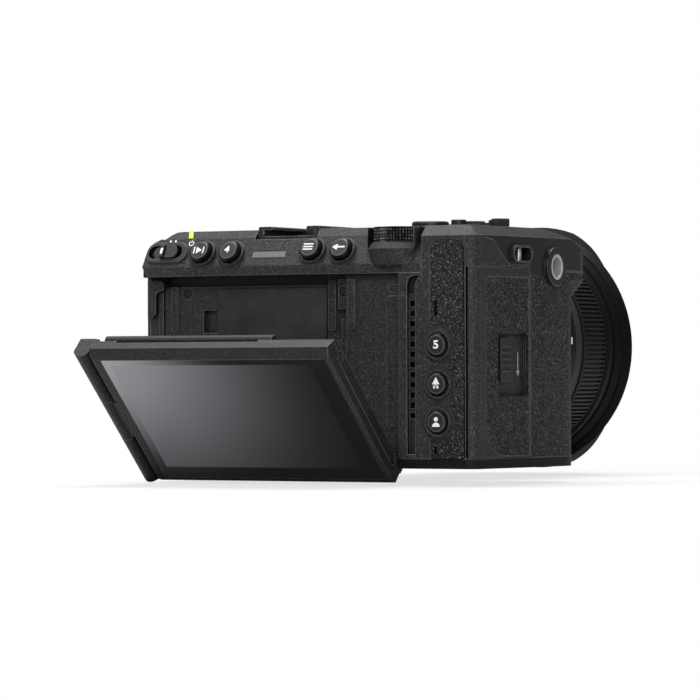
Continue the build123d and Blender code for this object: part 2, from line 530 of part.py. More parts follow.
FLAP_T = 1.8
FLAP_X = LEFT_X - FLAP_T / 2
FLAPS = {"port_cover_front": (-27.0, -9.0), "port_cover_rear": (-5.0, 12.0)}
FLAP_Z = (12.0, 58.0)
left = SHELL & LEFT_ZONE
left += strap_slot(LEFT_X - 7.4, LEFT_X - 0.35, EYELET_T)
left -= strap_slot(LEFT_X - 6.6, 60, 0)
for name, (y0, y1) in FLAPS.items():
    flap = block(LEFT_X - FLAP_T, LEFT_X, y0, y1, *FLAP_Z)
    flap = softened(flap, lambda e: e.filter_by(Axis.X).group_by(Axis.Y)[-1], 2.0)
    flap += rod_z(*FLAP_Z, FLAP_X, y0, FLAP_T / 2)
    flap -= block(LEFT_X - 0.7, 60, y1 - 1.2, y1 + 1, 31, 39)
    flap += rod_z(FLAP_Z[0] - 1.2, FLAP_Z[1] + 1.2, FLAP_X, y0, STUB_R)
    parts[name] = flap
    left -= block(LEFT_X - FLAP_T - 0.1, 60, y0 - FLAP_T / 2 - SHELL_GAP, y1 + SHELL_GAP,
                  FLAP_Z[0] - SHELL_GAP, FLAP_Z[1] + SHELL_GAP)
    left -= rod_z(FLAP_Z[0] - 1.4, FLAP_Z[1] + 1.4, FLAP_X, y0, STUB_R + RUN)
# Sockets behind the covers: Y, Z, width along Y, height, and the hole in each
SOCKETS = [(-18.0, 45.0, 6.2, 15.2), (-18.0, 28.0, 4.4, 9.4), (-18.0, 18.0, 7.0, 7.0),
           (4.0, 49.0, 7.0, 7.0), (4.0, 36.0, 4.4, 9.4), (4.0, 21.0, 4.4, 9.4)]
sockets = None
for y, z, w, h in SOCKETS:
    body = block(47.0, LEFT_X - FLAP_T - 0.1, y - w / 2, y + w / 2, z - h / 2, z + h / 2)
    left -= body
    if w == h:
        body -= rod_x(49, 60, y, z, 1.8)
    else:
        body -= block(50, 60, y - w / 2 + 0.8, y + w / 2 - 0.8, z - h / 2 + 0.8, z + h / 2 - 0.8)
        body += block(49.5, 54.3, y - 0.4, y + 0.4, z - h / 2 + 1.8, z + h / 2 - 1.8)
    sockets = body if sockets is None else sockets + body
parts["port_sockets"] = sockets
parts["left_cover"] = left

# Base, with the battery door and its latch
BAT_X = (-66.4, -44.6)
BAT_Y = (-41.0, 1.2)
BAT_PIN_Z = 1.2
tray = block(*BAT_X, *BAT_Y, 0, WALL)
tray = softened(tray, lambda e: e.filter_by(Axis.Z).group_by(Axis.Y)[0], 5.0)
tray_hole = block(BAT_X[0] - SHELL_GAP, BAT_X[1] + SHELL_GAP, BAT_Y[0] - SHELL_GAP, BAT_Y[1] + 1.8,
                  -1, BASE_H + 1)
tray_hole = softened(tray_hole, lambda e: e.filter_by(Axis.Z).group_by(Axis.Y)[0], 5.0 + SHELL_GAP)
tray += rod_x(*BAT_X, BAT_Y[1], BAT_PIN_Z, 1.1)
tray += rod_x(BAT_X[0] - 1.6, BAT_X[1] + 1.6, BAT_Y[1], BAT_PIN_Z, STUB_R)
tray -= block(-58.7, -49.3, -38.5, -34.0, -1, 1.1) + block(-56.6, -51.4, -37.3, -35.1, 0, 3)
parts["battery_door"] = tray
slider = block(-58.6, -52.4, -38.4, -34.1, 0.1, 1.0)
for i in range(4):
    slider -= block(-57.6 + i * 1.2, -57.1 + i * 1.2, -40, -30, 0, 0.5)
slider += block(-56.5, -54.5, -37.2, -35.2, 1.0, 2.1) + block(-58.4, -52.6, -39.0, -33.5, 2.1, 2.8)
parts["battery_latch"] = slider

TRIPOD_R, TRIPOD_DEPTH = 3.175, 6.5
BASE_SCREWS = [(48, -25), (48, 12), (14, -25), (-20, -25), (-36, 12), (20, 12)]
base = SHELL & BASE_ZONE
base -= tray_hole
base += block(-69.0, BAT_X[0] - SHELL_GAP, -0.8, 3.4, 1, BASE_H)
base += block(BAT_X[1] + SHELL_GAP, -42, -0.8, 3.4, 1, BASE_H)
base -= rod_x(BAT_X[0] - 1.8, BAT_X[1] + 1.8, BAT_Y[1], BAT_PIN_Z, STUB_R + RUN)
for lug in lugs:
    base += lug
base -= rod_x(LUG_XS[1][1], LUG_XS[0][0], PIVOT_Y, PIVOT_Z, HINGE_R + SHELL_GAP)
base -= rod_z(-5, 10, 0, 0, 5.0) + rod_z(1.9, 10, *DOOR_PIN, STUB_R + RUN)
for x, y in BASE_SCREWS:
    base -= rod_z(-1, 0.8, x, y, 1.9) + rod_z(-1, 5, x, y, SCREW_R)
heel_zone = block(-90, GRIP_X, FLOOR_Y + 1, 40, -5, BASE_H + 1)
heel = base & heel_zone
parts["base_plate"] = Compound(children=[base - heel_zone, heel])
socket = rod_z(0, TRIPOD_DEPTH + 1.5, 0, 0, 5.0) + rod_z(WALL, WALL + 1.0, 0, 0, 7.5)
socket -= rod_z(-1, TRIPOD_DEPTH, 0, 0, TRIPOD_R)
insert = rod_x(SIDE_X - BOSS_OUT, SIDE_X + 9, THREAD_Y, THREAD_Z, 4.0)
insert -= rod_x(-80, SIDE_X + 7.5, THREAD_Y, THREAD_Z, THREAD_R)
parts["thread_inserts"] = Compound(children=[socket, insert])


def screw(r_head, head, length):
    """Countersunk screw with a cross slot, head down at z 0, pointing up."""
    body = Pos(0, 0, head / 2) * Cylinder(r_head, head) + Pos(0, 0, length / 2) * Cylinder(SCREW_R, length)
    cross = Pos(0, 0, 0.2) * Box(r_head * 1.1, 0.35, 0.4) + Pos(0, 0, 0.2) * Box(0.35, r_head * 1.1, 0.4)
    return body - cross


screws = []
for x, y, z in floor_screws:
    screws.append(Pos(x, y - 0.1, z) * Rot(90, 0, 0) * Rot(0, 0, 45) * screw(HEAD_R, SCREW_DEPTH - 0.1, 5.5))
for x, y in BASE_SCREWS:
    screws.append(Pos(x, y, 0.0) * Rot(0, 0, 30) * screw(1.9, 0.8, 5.0))
parts["body_screws"] = Compound(children=screws)
parts["strap_bars"] = Compound(children=[
    rod_z(*strap_z, SIDE_X + 3.0, STRAP_BAR_Y, 0.9), rod_z(*strap_z, LEFT_X - 3.0, STRAP_BAR_Y, 0.9)])
parts["tilt_pin"] = rod_x(LUG_XS[1][0], LUG_XS[0][1], PIVOT_Y, PIVOT_Z, PIN_R)
label = plate_y([(28.0, 6.5), (-12.0, 6.5), (-12.0, 56.4), (28.0, 56.4)], [1.0] * 4, FLOOR_Y, FLOOR_Y + 0.4)
parts["recess_plate"] = label

# Top cover with the button bank, the dial housing and the shoe's seat
BANK_BUTTONS = {"clips_button": (31.1, 4.45), "button_four": (20.3, 4.2),
                "menu_button": (-9.4, 4.7), "back_button": (-20.3, 4.45)}
FLANGE_R = 4.3
SHOE_X = (-9.3, 13.3)
SHOE_Y = (-3.0, 19.4)
SHOE_Z = 71.9
RECORD = (-41.0, 5.0, 5.85, 77.0)
TOP_BUTTON = (-57.0, 16.0, 2.35, 76.9)
CONTROL = (-58.0, 8.0, 3.5)
LEVER = (-57.5, -4.0)
LEVER_R = 5.6
HUB_R = 4.2
SHUTTER_R = 3.25
CAP_FLANGE_Z = -2.1      # top of a cap's flange, under the wall
CAP_FLANGE_T = 0.7

top = SHELL & TOP_ZONE
top += housing
top += block(SHOE_X[0] - 1.5, SHOE_X[1] + 1.5, SHOE_Y[0] - 1.5, SHOE_Y[1], SHOE_Z - 1.5, TOP_Z - 1)
for x, t in BANK_BUTTONS.values():
    collar = Pos(-x, t, COLLAR_H / 2 - 0.5) * Cylinder(COLLAR_R - 0.2, COLLAR_H + 1)
    collar = softened(collar, lambda e: e.filter_by(GeomType.CIRCLE).sort_by(Axis.Z)[-1], 0.5)
    top += on(BANK, collar)
rim_face = Pos(-(52.4 + 37.2) / 2, 5.15) * RectangleRounded(15.2, 7.1, 3.5)
top += on(BANK, extrude(Pos(0, 0, -0.5) * rim_face, 1.1))
top += rod_z(TOP_Z - 1, TOP_Z + 0.5, RECORD[0], RECORD[1], RECORD[2] + 1.1)
top += rod_z(TOP_Z - 1, TOP_Z + 0.4, TOP_BUTTON[0], TOP_BUTTON[1], TOP_BUTTON[2] + 0.9)
top -= rod_z(FLOOR_Z, 90, DIAL_X, DIAL_Y, DIAL_R + 0.5) + rod_z(65, 90, DIAL_X, DIAL_Y, 2.0 + RUN)
top -= (window & block(-90, 90, BANK_TOP_Y - 4, 40, FLOOR_Z, 90)) + joint_seam
top -= block(*SHOE_X, SHOE_Y[0], 40, SHOE_Z, 90)
pocket_h = 0.1 + CAP_FLANGE_T + TRAVEL + 0.3
for x, t in BANK_BUTTONS.values():
    top -= on(BANK, Pos(-x, t, 0) * Cylinder(BUTTON_R + CAP_GAP, 8))
    top -= on(BANK, Pos(-x, t, CAP_FLANGE_Z + 0.1 - pocket_h / 2) * Cylinder(FLANGE_R + 0.3, pocket_h))
KNOB_X = (40.6, 49.8)
KNOB_T = 5.2
KNOB_STEM = (42.4, 46.2)
RIB_X = (45.0, 46.9)     # finger rib across the switch
SWITCH_STROKE = 1.6
slot_x = (KNOB_X[0] - 1.55, KNOB_X[1] + SWITCH_STROKE + 0.25)
slot_face = Pos(-sum(slot_x) / 2, KNOB_T, -1.4) * RectangleRounded(slot_x[1] - slot_x[0], 4.7, 2.2)
top -= on(BANK, extrude(slot_face, 4))
top -= on(BANK, block(-KNOB_STEM[1] - SWITCH_STROKE - 0.2, -KNOB_STEM[0] + 0.2,
                      KNOB_T - 1.05, KNOB_T + 1.05, -4, 0))
top -= on(BANK, block(-12.6, -0.5, 2.9, 5.0, -0.5, 1))
top -= rod_z(60, 90, RECORD[0], RECORD[1], RECORD[2] + 0.3)
top -= rod_z(60, 90, TOP_BUTTON[0], TOP_BUTTON[1], TOP_BUTTON[2] + 0.25)
top -= rod_z(60, 90, CONTROL[0], CONTROL[1], 1.2 + RUN) + rod_z(60, 90, *LEVER, HUB_R + RUN)
top -= rod_z(71, 73, RECORD[0], RECORD[1], RECORD[2] + 1.0)
parts["top_cover"] = top
parts["tally_window"] = on(BANK, block(-12.6, -0.5, 2.9, 5.0, -0.5, 0.05))

shoe = block(*SHOE_X, *SHOE_Y, SHOE_Z, SHOE_Z + 4.1)
shoe -= block(2.0 - 9.35, 2.0 + 9.35, SHOE_Y[0] + 1.2, 40, SHOE_Z + 1.0, SHOE_Z + 3.1)
shoe -= block(2.0 - 6.3, 2.0 + 6.3, SHOE_Y[0] + 1.2, 40, SHOE_Z + 1.0, 90)
shoe = chamfer(shoe.edges().filter_by(Axis.Y).group_by(Axis.Z)[-1], 0.4)
for x, y in ((-2.5, 3), (6.5, 3), (-2.5, 14), (6.5, 14)):
    shoe -= rod_z(SHOE_Z + 0.5, SHOE_Z + 2, x, y, 1.3)
parts["accessory_shoe"] = shoe


def cap(radius, height, edge=0.5):
    """Round button cap along Z with its softened top at height, and a flange under the wall."""
    body = Pos(0, 0, (height + CAP_FLANGE_Z) / 2) * Cylinder(radius, height - CAP_FLANGE_Z)
    body = softened(body, lambda e: e.filter_by(GeomType.CIRCLE).sort_by(Axis.Z)[-1], edge)
    return body + Pos(0, 0, CAP_FLANGE_Z - CAP_FLANGE_T / 2) * Cylinder(radius + 0.7, CAP_FLANGE_T)


for name, (x, t) in BANK_BUTTONS.items():
    parts[name] = on(BANK, Pos(-x, t, 0) * cap(BUTTON_R, CAP_H))
knob_face = Pos(-sum(KNOB_X) / 2, KNOB_T, -1.35) * RectangleRounded(KNOB_X[1] - KNOB_X[0], 4.4, 2.1)
knob = extrude(knob_face, 1.65)
high_side = block(-RIB_X[0], 0, -50, 50, -1, 3)
knob += extrude(knob_face, 2.6) & high_side
rib_face = Polyline((-RIB_X[1], 0.2), (-RIB_X[1] + 0.35, 2.0), (-RIB_X[0] - 0.35, 2.0), (-RIB_X[0], 0.2),
                    close=True)
rib_plane = Plane(origin=(0, KNOB_T + 2.15, 0), x_dir=(1, 0, 0), z_dir=(0, -1, 0))
knob = on(BANK, knob + extrude(rib_plane * make_face(rib_face), 4.3))
knob += on(BANK, block(-KNOB_STEM[1], -KNOB_STEM[0], KNOB_T - 1.0, KNOB_T + 1.0, -2.1, -1.3))
knob += on(BANK, block(-47.0, -41.6, KNOB_T - 1.9, KNOB_T + 1.9, -2.8, -2.1))
parts["power_switch"] = knob

for name, z in zip(("button_five", "home_button", "user_button"), BUTTON_ZS):
    place = Plane(origin=(BUTTON_X, REAR_Y, z), x_dir=(-1, 0, 0), z_dir=(0, 1, 0))
    parts[name] = on(place, cap(thumb_cap, 1.7))


def toothed(radius, depth, count, flat=0.0):
    """Round face with triangular or flat-topped teeth."""
    points = []
    step = 2 * pi / count
    for i in range(count):
        a = i * step
        if flat:
            marks = ((0.0, radius), (flat, radius), (flat + 0.08, radius - depth), (0.92, radius - depth))
        else:
            marks = ((0.0, radius), (0.5, radius - depth))
        for part, r in marks:
            points.append((r * cos(a + part * step), r * sin(a + part * step)))
    return make_face(Polyline(*points, close=True))


DIAL_TEETH, DIAL_DEPTH = 50, 0.45
dial = extrude(toothed(DIAL_R, DIAL_DEPTH, DIAL_TEETH), DIAL_HIGH - DIAL_LOW)
for i in range(5):
    z = 0.48 + i * 0.94
    lip = DIAL_R + 0.1
    groove = Polyline((lip, z - 0.35), (lip, z + 0.35), (DIAL_R - DIAL_DEPTH, z), close=True)
    dial -= revolve(Plane.XZ * make_face(groove), Axis.Z, 360)
dial += Pos(0, 0, -1.7) * Cylinder(2.0, 3.5)
parts["rear_dial"] = Pos(DIAL_X, DIAL_Y, DIAL_LOW) * dial
record = cap(RECORD[2], RECORD[3] - TOP_Z, 0.8)
parts["record_button"] = Pos(RECORD[0], RECORD[1], TOP_Z) * record
parts["top_button"] = Pos(TOP_BUTTON[0], TOP_BUTTON[1], TOP_Z) * cap(TOP_BUTTON[2], 1.9, 0.4)
control = Pos(0, 0, 0.1) * extrude(toothed(CONTROL[2], 0.3, 28, 0.45), 1.5)
control += Pos(0, 0, -0.9) * Cylinder(1.2, 2.6)
parts["control_dial"] = Pos(CONTROL[0], CONTROL[1], TOP_Z) * control
ring = Pos(0, 0, 0.75) * Cylinder(LEVER_R, 1.3) + Pos(0, 0, -0.75) * Cylinder(HUB_R, 1.9)
tab = Rot(0, 0, 139) * (Pos(7.4, 0, 1.15) * Box(6.2, 4.6, 2.1))
for i in range(4):
    tab += Rot(0, 0, 139) * (Pos(6.9 + i * 1.0, 0, 2.3) * Box(0.45, 4.6, 0.5))
ring += tab
ring -= Cylinder(SHUTTER_R + 0.1, 12)
parts["zoom_lever"] = Pos(LEVER[0], LEVER[1], TOP_Z) * ring
shutter = Pos(0, 0, -0.35) * Cylinder(SHUTTER_R, 3.1)
shutter = softened(shutter, lambda e: e.filter_by(GeomType.CIRCLE).sort_by(Axis.Z)[-1], 0.5)
shutter += Pos(0, 0, -2.2) * Cylinder(SHUTTER_R + 0.6, 0.8)
parts["shutter_button"] = Pos(LEVER[0], LEVER[1], TOP_Z) * shutter
place = Plane(origin=(RELEASE[0], FRONT_Y, RELEASE[1]), x_dir=(1, 0, 0), z_dir=(0, -1, 0))
parts["lens_release"] = on(place, cap(RELEASE[2], 2.4, 0.7))

# Inside the body
rails = block(-39.4, 46.0, -18.0, -16.6, 14.0, 60.0) - block(-21, 21, -30, 0, 24.0, 53.0)
for x, z in ((-36.0, 17.0), (-36.0, 57.0), (43.0, 57.0), (32.5, 17.0)):
    rails += rod_y(FRONT_Y + WALL, -16.6, x, z, 2.2)
parts["chassis"] = rails
sensor = block(-22, 22, -19.6, -18.0, 22.5, 54.5) + block(-18, 18, -20.7, -19.6, 26.6, 50.6)
parts["image_sensor"] = sensor
board = block(-37, 46, -11.6, -10.2, 15, 60)
for x in (-30.0, 40.0):
    for z in (19.0, 56.0):
        board += rod_y(-16.6, -11.6, x, z, 2.0)
for x, z, w, h in ((-20, 38, 16, 16), (6, 42, 13, 13), (26, 26, 10, 12), (30, 48, 9, 9), (-28, 20, 8, 5)):
    board += block(x - w / 2, x + w / 2, -12.9, -11.6, z - h / 2, z + h / 2)
parts["main_board"] = board
sink = block(-34, 30, -10.2, -8.2, 18, 57)
for i in range(13):
    sink += block(-32 + i * 5, -31 + i * 5, -8.2, -2.0, 20, 55)
parts["heat_sink"] = sink
FAN_X, FAN_Z, FAN_R = -10.0, 37.0, 13.0
BLADE_ROOT = 3.8
fan_box = block(-39.0, 6.0, -2.0, 10.0, 20, 54)
fan_box -= block(-45.0, 4.8, -0.8, 8.8, 21.2, 52.8)
fan_box -= rod_y(-3, 0, FAN_X, FAN_Z, 9.0)
fan_box += rod_y(6.0, 8.8, FAN_X, FAN_Z, 2.4) - rod_y(5, 8.8, FAN_X, FAN_Z, 1.0 + RUN)
parts["fan_housing"] = fan_box
rotor = rod_y(0.2, 5.9, FAN_X, FAN_Z, 4.5) + rod_y(5.9, 8.2, FAN_X, FAN_Z, 1.0)
for i in range(11):
    blade = Pos((BLADE_ROOT + FAN_R) / 2, 2.9, 0) * Rot(0, 25, 0) * Box(FAN_R - BLADE_ROOT, 5.2, 0.7)
    rotor += Pos(FAN_X, 0, FAN_Z) * Rot(0, i * 360 / 11, 0) * blade
parts["fan_rotor"] = rotor
battery = block(-66.0, -44.8, -39.0, -1.5, 3.0, 54.0)
battery = softened(battery, lambda e: e.filter_by(Axis.Z), 4.0)
parts["battery"] = battery
cage = block(-64.4, -50.0, 4.5, 22.4, 10.0, 50.0) - block(-70, -51.0, 5.5, 21.4, 12.0, 29.0)
cage -= block(-70, -51.0, 5.5, 21.4, 31.0, 48.0)
parts["card_cage"] = cage

# Tilting link, frame, arm and screen


def rod_u(u0, u1, s, n, r):
    """Cylinder along the screen's width."""
    return Pos((u0 + u1) / 2, s, n) * Rot(0, 90, 0) * Cylinder(r, u1 - u0)


HINGE_B = (72.7, 16.2)
link = block(LINK_LEFT, LINK_RIGHT, 19.6, 70.6, LINK_BACK, LINK_BACK + LINK_T)
link = softened(link, lambda e: e.filter_by(Axis.Z), 1.0)
link += rod_u(LINK_LEFT, LINK_RIGHT, *HINGE_B, HINGE_R)
link += block(LINK_LEFT + 0.5, LINK_RIGHT - 0.5, 70.0, HINGE_B[0], LINK_BACK, LINK_BACK + LINK_T)
link += rod_u(-30.1, 13.1, PIVOT_S, PIVOT_N, HINGE_R)
web = Polyline((PIVOT_S, PIVOT_N - 0.9), (PIVOT_S + 3.6, PIVOT_N + 1.2), (PIVOT_S + 4.4, LINK_BACK + LINK_T),
               (PIVOT_S, PIVOT_N + 1.6), close=True)
web_plane = Plane(origin=(-30.1, 0, 0), x_dir=(0, 1, 0), z_dir=(1, 0, 0))
link += extrude(web_plane * make_face(web), 43.2)
link -= rod_u(-35, 20, PIVOT_S, PIVOT_N, PIN_R + RUN)
link += rod_u(LINK_LEFT - KNUCKLE_L + 0.6, LINK_RIGHT + KNUCKLE_L - 0.6, *HINGE_B, PIN_R)
parts["link_plate"] = on(SCREEN, link)

FRAME_LEFT, FRAME_RIGHT = -50.8, 41.0
frame = block(-44.5, FRAME_RIGHT, 16.4, 74.3, FRAME_BACK, FRAME_BACK + FRAME_T)
back_edge = frame.edges().filter_by(Axis.X).group_by(Axis.Y)[-1].sort_by(Axis.Z)[0]
frame = chamfer(back_edge, 1.0, 1.6)
frame -= block(LINK_LEFT - 0.2, LINK_RIGHT + 0.2, 70.4, 80, 10, 20)
for s0, s1 in ((BARREL_LOW, ARM_LOW - 0.15), (ARM_HIGH + 0.15, PANEL_HIGH - 1.2)):
    frame += block(FRAME_LEFT, -45.1, s0, s1, FRAME_BACK, SWING_N)
    frame += Pos(SWING_U, (s0 + s1) / 2, SWING_N) * Rot(90, 0, 0) * Cylinder(SWING_R, s1 - s0)
frame += block(-46, -44.0, BARREL_LOW, 74.3, FRAME_BACK, FRAME_BACK + FRAME_T)
for u0 in (LINK_LEFT - 0.2 - KNUCKLE_L, LINK_RIGHT + 0.2):
    frame += rod_u(u0, u0 + KNUCKLE_L, *HINGE_B, HINGE_R)
frame += block(FRAME_RIGHT - 1.0, FRAME_RIGHT, 22.0, 69.0, FRAME_BACK, 20.4)
frame -= rod_u(LINK_LEFT - KNUCKLE_L, LINK_RIGHT + KNUCKLE_L, *HINGE_B, PIN_R + RUN)
frame -= Pos(SWING_U, 45, SWING_N) * Rot(90, 0, 0) * Cylinder(1.2 + RUN, 46)
for s in (23.2, 67.9):
    frame -= rod_u(FRAME_RIGHT - 0.3, FRAME_RIGHT + 1, s, 18.7, 1.65)
parts["tilt_frame"] = on(SCREEN, frame)

arm = Pos(SWING_U, (ARM_LOW + ARM_HIGH) / 2, SWING_N) * Rot(90, 0, 0) * Cylinder(SWING_R, ARM_HIGH - ARM_LOW)
arm += Pos(SWING_U, 45, SWING_N) * Rot(90, 0, 0) * Cylinder(1.2, 45)
arm += block(SWING_U, PANEL_LEFT, ARM_LOW + 0.8, ARM_HIGH - 0.8, 19.6, 23.4)
parts["swing_arm"] = on(SCREEN, arm)

case_profile = [(19.0, PANEL_FACE), (PANEL_LOW, 22.5), (16.9, 20.5), (16.9, PANEL_BACK),
                (74.6, PANEL_BACK), (PANEL_HIGH, 22.1), (72.4, PANEL_FACE)]
case_plane = Plane(origin=(PANEL_LEFT, 0, 0), x_dir=(0, 1, 0), z_dir=(1, 0, 0))
case = extrude(case_plane * make_face(Polyline(*case_profile, close=True)), PANEL_RIGHT - PANEL_LEFT)
face_edges = case.faces().sort_by(Axis.Z)[-1].edges()
case = chamfer(face_edges.filter_by(Axis.Y), 0.6)
case -= block(FRAME_RIGHT - 1.2, PANEL_RIGHT + 1, 21.8, 69.2, 10, 20.6)
GLASS_U, GLASS_S = (-41.1, 39.6), (19.7, 72.2)
case -= block(*GLASS_U, *GLASS_S, PANEL_FACE - 1.0, 30)
case -= block(-38.5, 33.0, 24.5, 70.0, 20.2, 30)
parts["screen_case"] = on(SCREEN, case)
glass = block(*GLASS_U, *GLASS_S, PANEL_FACE - 1.0, PANEL_FACE - 0.08)
glass = softened(glass, lambda e: e.filter_by(Axis.Z), 0.6)
display = block(-38.5, 33.0, 24.5, 70.0, 20.2, PANEL_FACE - 1.0)
parts["screen_glass"] = on(SCREEN, glass + display)

# Lens mount and lens
mount = turned([(THROAT_R, BOSS_Y), (MOUNT_R, BOSS_Y), (MOUNT_R, FLANGE_Y + 0.5), (MOUNT_R - 0.5, FLANGE_Y),
                (THROAT_R, FLANGE_Y)])
mount += turned([(THROAT_R, BOSS_Y), (THROAT_R + 1.0, BOSS_Y), (THROAT_R + 1.0, FRONT_Y + 1),
                 (THROAT_R, FRONT_Y + 1)])
SCREW_CIRCLE = (THROAT_R + MOUNT_R) / 2 + 0.2
for i in range(6):
    a = radians(30 + i * 60)
    mount -= rod_y(FLANGE_Y - 1, FLANGE_Y + 0.8, SCREW_CIRCLE * cos(a), LENS_Z + SCREW_CIRCLE * sin(a), 1.5)
parts["mount_ring"] = mount
CARRIER_R = LENS_R - 4.4     # barrel under the turning rings
RING_R = CARRIER_R + RUN
LENS_BORE = THROAT_R + 3.0
FRONT_BORE = FILTER_R - 2.5
SEATS = {"aperture_ring": (-46.0, -58.0, LENS_R - 1.9, 90), "zoom_ring": (-74.0, -98.0, LENS_R - 0.8, 110),
         "focus_ring": (-109.4, -126.5, LENS_R, 150)}
profile = [
    (LENS_BORE, FLANGE_Y - 1.5), (MOUNT_R, FLANGE_Y - 1.5), (LENS_R - 3.8, -42.6), (LENS_R - 2.2, -46.0),
    (CARRIER_R, -46.0), (CARRIER_R, -58.0), (LENS_R - 1.9, -58.0), (LENS_R - 1.1, -72.0),
    (LENS_R - 1.1, -74.0), (CARRIER_R, -74.0), (CARRIER_R, -98.0), (LENS_R - 0.4, -98.0),
    (LENS_R - 0.4, -104.1), (LENS_R - 0.8, -104.3), (LENS_R - 0.8, -109.4), (CARRIER_R, -109.4),
    (CARRIER_R, -126.5), (LENS_R, -126.5), (LENS_R + 0.6, -127.4), (LENS_R + 0.6, -130.5),
    (RIM_R, -130.5), (RIM_R, LENS_FRONT_Y), (FILTER_R, LENS_FRONT_Y), (FILTER_R, LENS_FRONT_Y + 4.0),
    (FRONT_BORE, LENS_FRONT_Y + 4.0), (FRONT_BORE, -124.0), (LENS_BORE, -120.0), (LENS_BORE, -42.0),
]
barrel = turned(profile)
for z0, z1 in ((34.5, 42.0), (46.0, 53.5)):
    pocket = block(LENS_R - 3.4, 40, -68.5, -62.5, z0 + 0.3, z1 - 0.3)
    barrel -= pocket - block(0, LENS_R - 2.2, -80, -50, 0, 80)
parts["lens_barrel"] = barrel
BAYONET_R = THROAT_R - 0.07
parts["lens_mount"] = turned([
    (BAYONET_R, -35.0), (BAYONET_R, FLANGE_Y), (MOUNT_R - 0.5, FLANGE_Y), (MOUNT_R - 0.5, FLANGE_Y - 1.5),
    (THROAT_R - 2.5, FLANGE_Y - 1.5), (THROAT_R - 2.5, -35.0)])


def ring_shoulder(y, way, radius):
    """Bevelled edge of a lens ring: way is -1 at its rear end, 1 at its front end."""
    return turned([(RING_R, y + way * RING_GAP), (radius - 0.4, y + way * RING_GAP),
                   (radius - 0.1, y + way * 0.6), (radius - 0.1, y + way * 1.1), (RING_R, y + way * 1.1)])


for name, (y0, y1, radius, count) in SEATS.items():
    face = toothed(radius, 0.75, count, 0.45)
    plane = Plane(origin=(0, y0 - 1.1, LENS_Z), x_dir=(1, 0, 0), z_dir=(0, -1, 0))
    body = extrude(plane * face, (y0 - y1) - 2.2)
    body += ring_shoulder(y0, -1, radius) + ring_shoulder(y1, 1, radius)
    body -= rod_y(y0 + 1, y1 - 1, 0, LENS_Z, RING_R)
    parts[name] = body


def element(edge_r, front_y, edge_y, back_y):
    """Lens element with a domed face at front_y, turned about the lens axis."""
    middle = (edge_r * 0.52, front_y + (edge_y - front_y) * 0.255)
    dome = ThreePointArc((0, front_y), middle, (edge_r, edge_y))
    rest = Polyline((edge_r, edge_y), (edge_r, back_y), (0, back_y), (0, front_y))
    axis = Axis((0, 0, LENS_Z), (0, 1, 0))
    return revolve(Pos(0, 0, LENS_Z) * make_face(dome + rest), axis, 360)


front_glass = element(FRONT_BORE, -128.8, -124.6, -124.0)
rear_glass = element(LENS_BORE, -40.0, -44.4, -48.0)
parts["lens_glass"] = Compound(children=[front_glass, rear_glass])

# Hood: base ring, flare, and petals above and below
HOOD_Y = LENS_FRONT_Y + 2.35
FLARE_Y = LENS_FRONT_Y - HOOD_SIDE + 2.0
PETAL_Y = LENS_FRONT_Y - HOOD_PETAL
hood = turned([
    (RIM_R + RUN, HOOD_Y), (RIM_R + 2.0, HOOD_Y), (RIM_R + 3.0, HOOD_Y - 3.65), (RIM_R + 2.5, HOOD_Y - 3.85),
    (RIM_R + 3.5, HOOD_Y - 4.05), (HOOD_R, FLARE_Y), (HOOD_R + 0.65, PETAL_Y - 1.8),
    (HOOD_R - 0.75, PETAL_Y - 1.8), (HOOD_R - 1.55, FLARE_Y), (RIM_R + 1.5, HOOD_Y - 3.95),
    (RIM_R + RUN, HOOD_Y - 2.55)])
petal = [
    (-60, FLARE_Y), (-31, FLARE_Y), (-24, LENS_FRONT_Y - 9.0), (-14, PETAL_Y + 0.6), (0, PETAL_Y),
    (14, PETAL_Y + 0.6), (24, LENS_FRONT_Y - 9.0), (31, FLARE_Y), (60, FLARE_Y), (60, -100), (-60, -100),
]
petal_plane = Plane(origin=(0, 0, LENS_Z - 50), x_dir=(1, 0, 0), z_dir=(0, 0, 1))
hood &= extrude(petal_plane * make_face(Polyline(*petal, close=True)), 100)
parts["lens_hood"] = hood

os.makedirs("parts", exist_ok=True)
for name, solid in parts.items():
    export_step(solid, "parts/" + name + ".step")
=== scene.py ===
import bpy
from math import cos, radians, sin
from mathutils import Matrix, Vector


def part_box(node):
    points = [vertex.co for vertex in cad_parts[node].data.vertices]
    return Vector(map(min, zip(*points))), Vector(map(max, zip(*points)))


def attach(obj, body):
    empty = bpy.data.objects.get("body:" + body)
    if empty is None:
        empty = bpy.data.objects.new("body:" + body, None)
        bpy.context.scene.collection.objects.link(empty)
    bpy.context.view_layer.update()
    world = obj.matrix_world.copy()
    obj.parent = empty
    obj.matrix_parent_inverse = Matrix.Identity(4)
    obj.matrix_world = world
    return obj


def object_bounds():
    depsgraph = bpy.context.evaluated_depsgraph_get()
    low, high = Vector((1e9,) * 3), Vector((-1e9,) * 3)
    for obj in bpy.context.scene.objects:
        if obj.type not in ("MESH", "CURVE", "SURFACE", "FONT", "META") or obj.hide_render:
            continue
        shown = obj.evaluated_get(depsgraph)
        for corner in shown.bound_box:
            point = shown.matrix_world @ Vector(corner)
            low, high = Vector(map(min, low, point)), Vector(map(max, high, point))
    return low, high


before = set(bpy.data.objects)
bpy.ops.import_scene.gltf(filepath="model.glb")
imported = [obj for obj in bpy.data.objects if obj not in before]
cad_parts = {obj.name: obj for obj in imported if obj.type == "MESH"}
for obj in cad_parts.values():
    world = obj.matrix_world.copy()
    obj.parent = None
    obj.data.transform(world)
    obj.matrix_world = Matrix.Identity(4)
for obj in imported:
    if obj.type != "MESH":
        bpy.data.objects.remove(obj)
cad_low, cad_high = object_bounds()
bpy.ops.object.select_all(action="DESELECT")

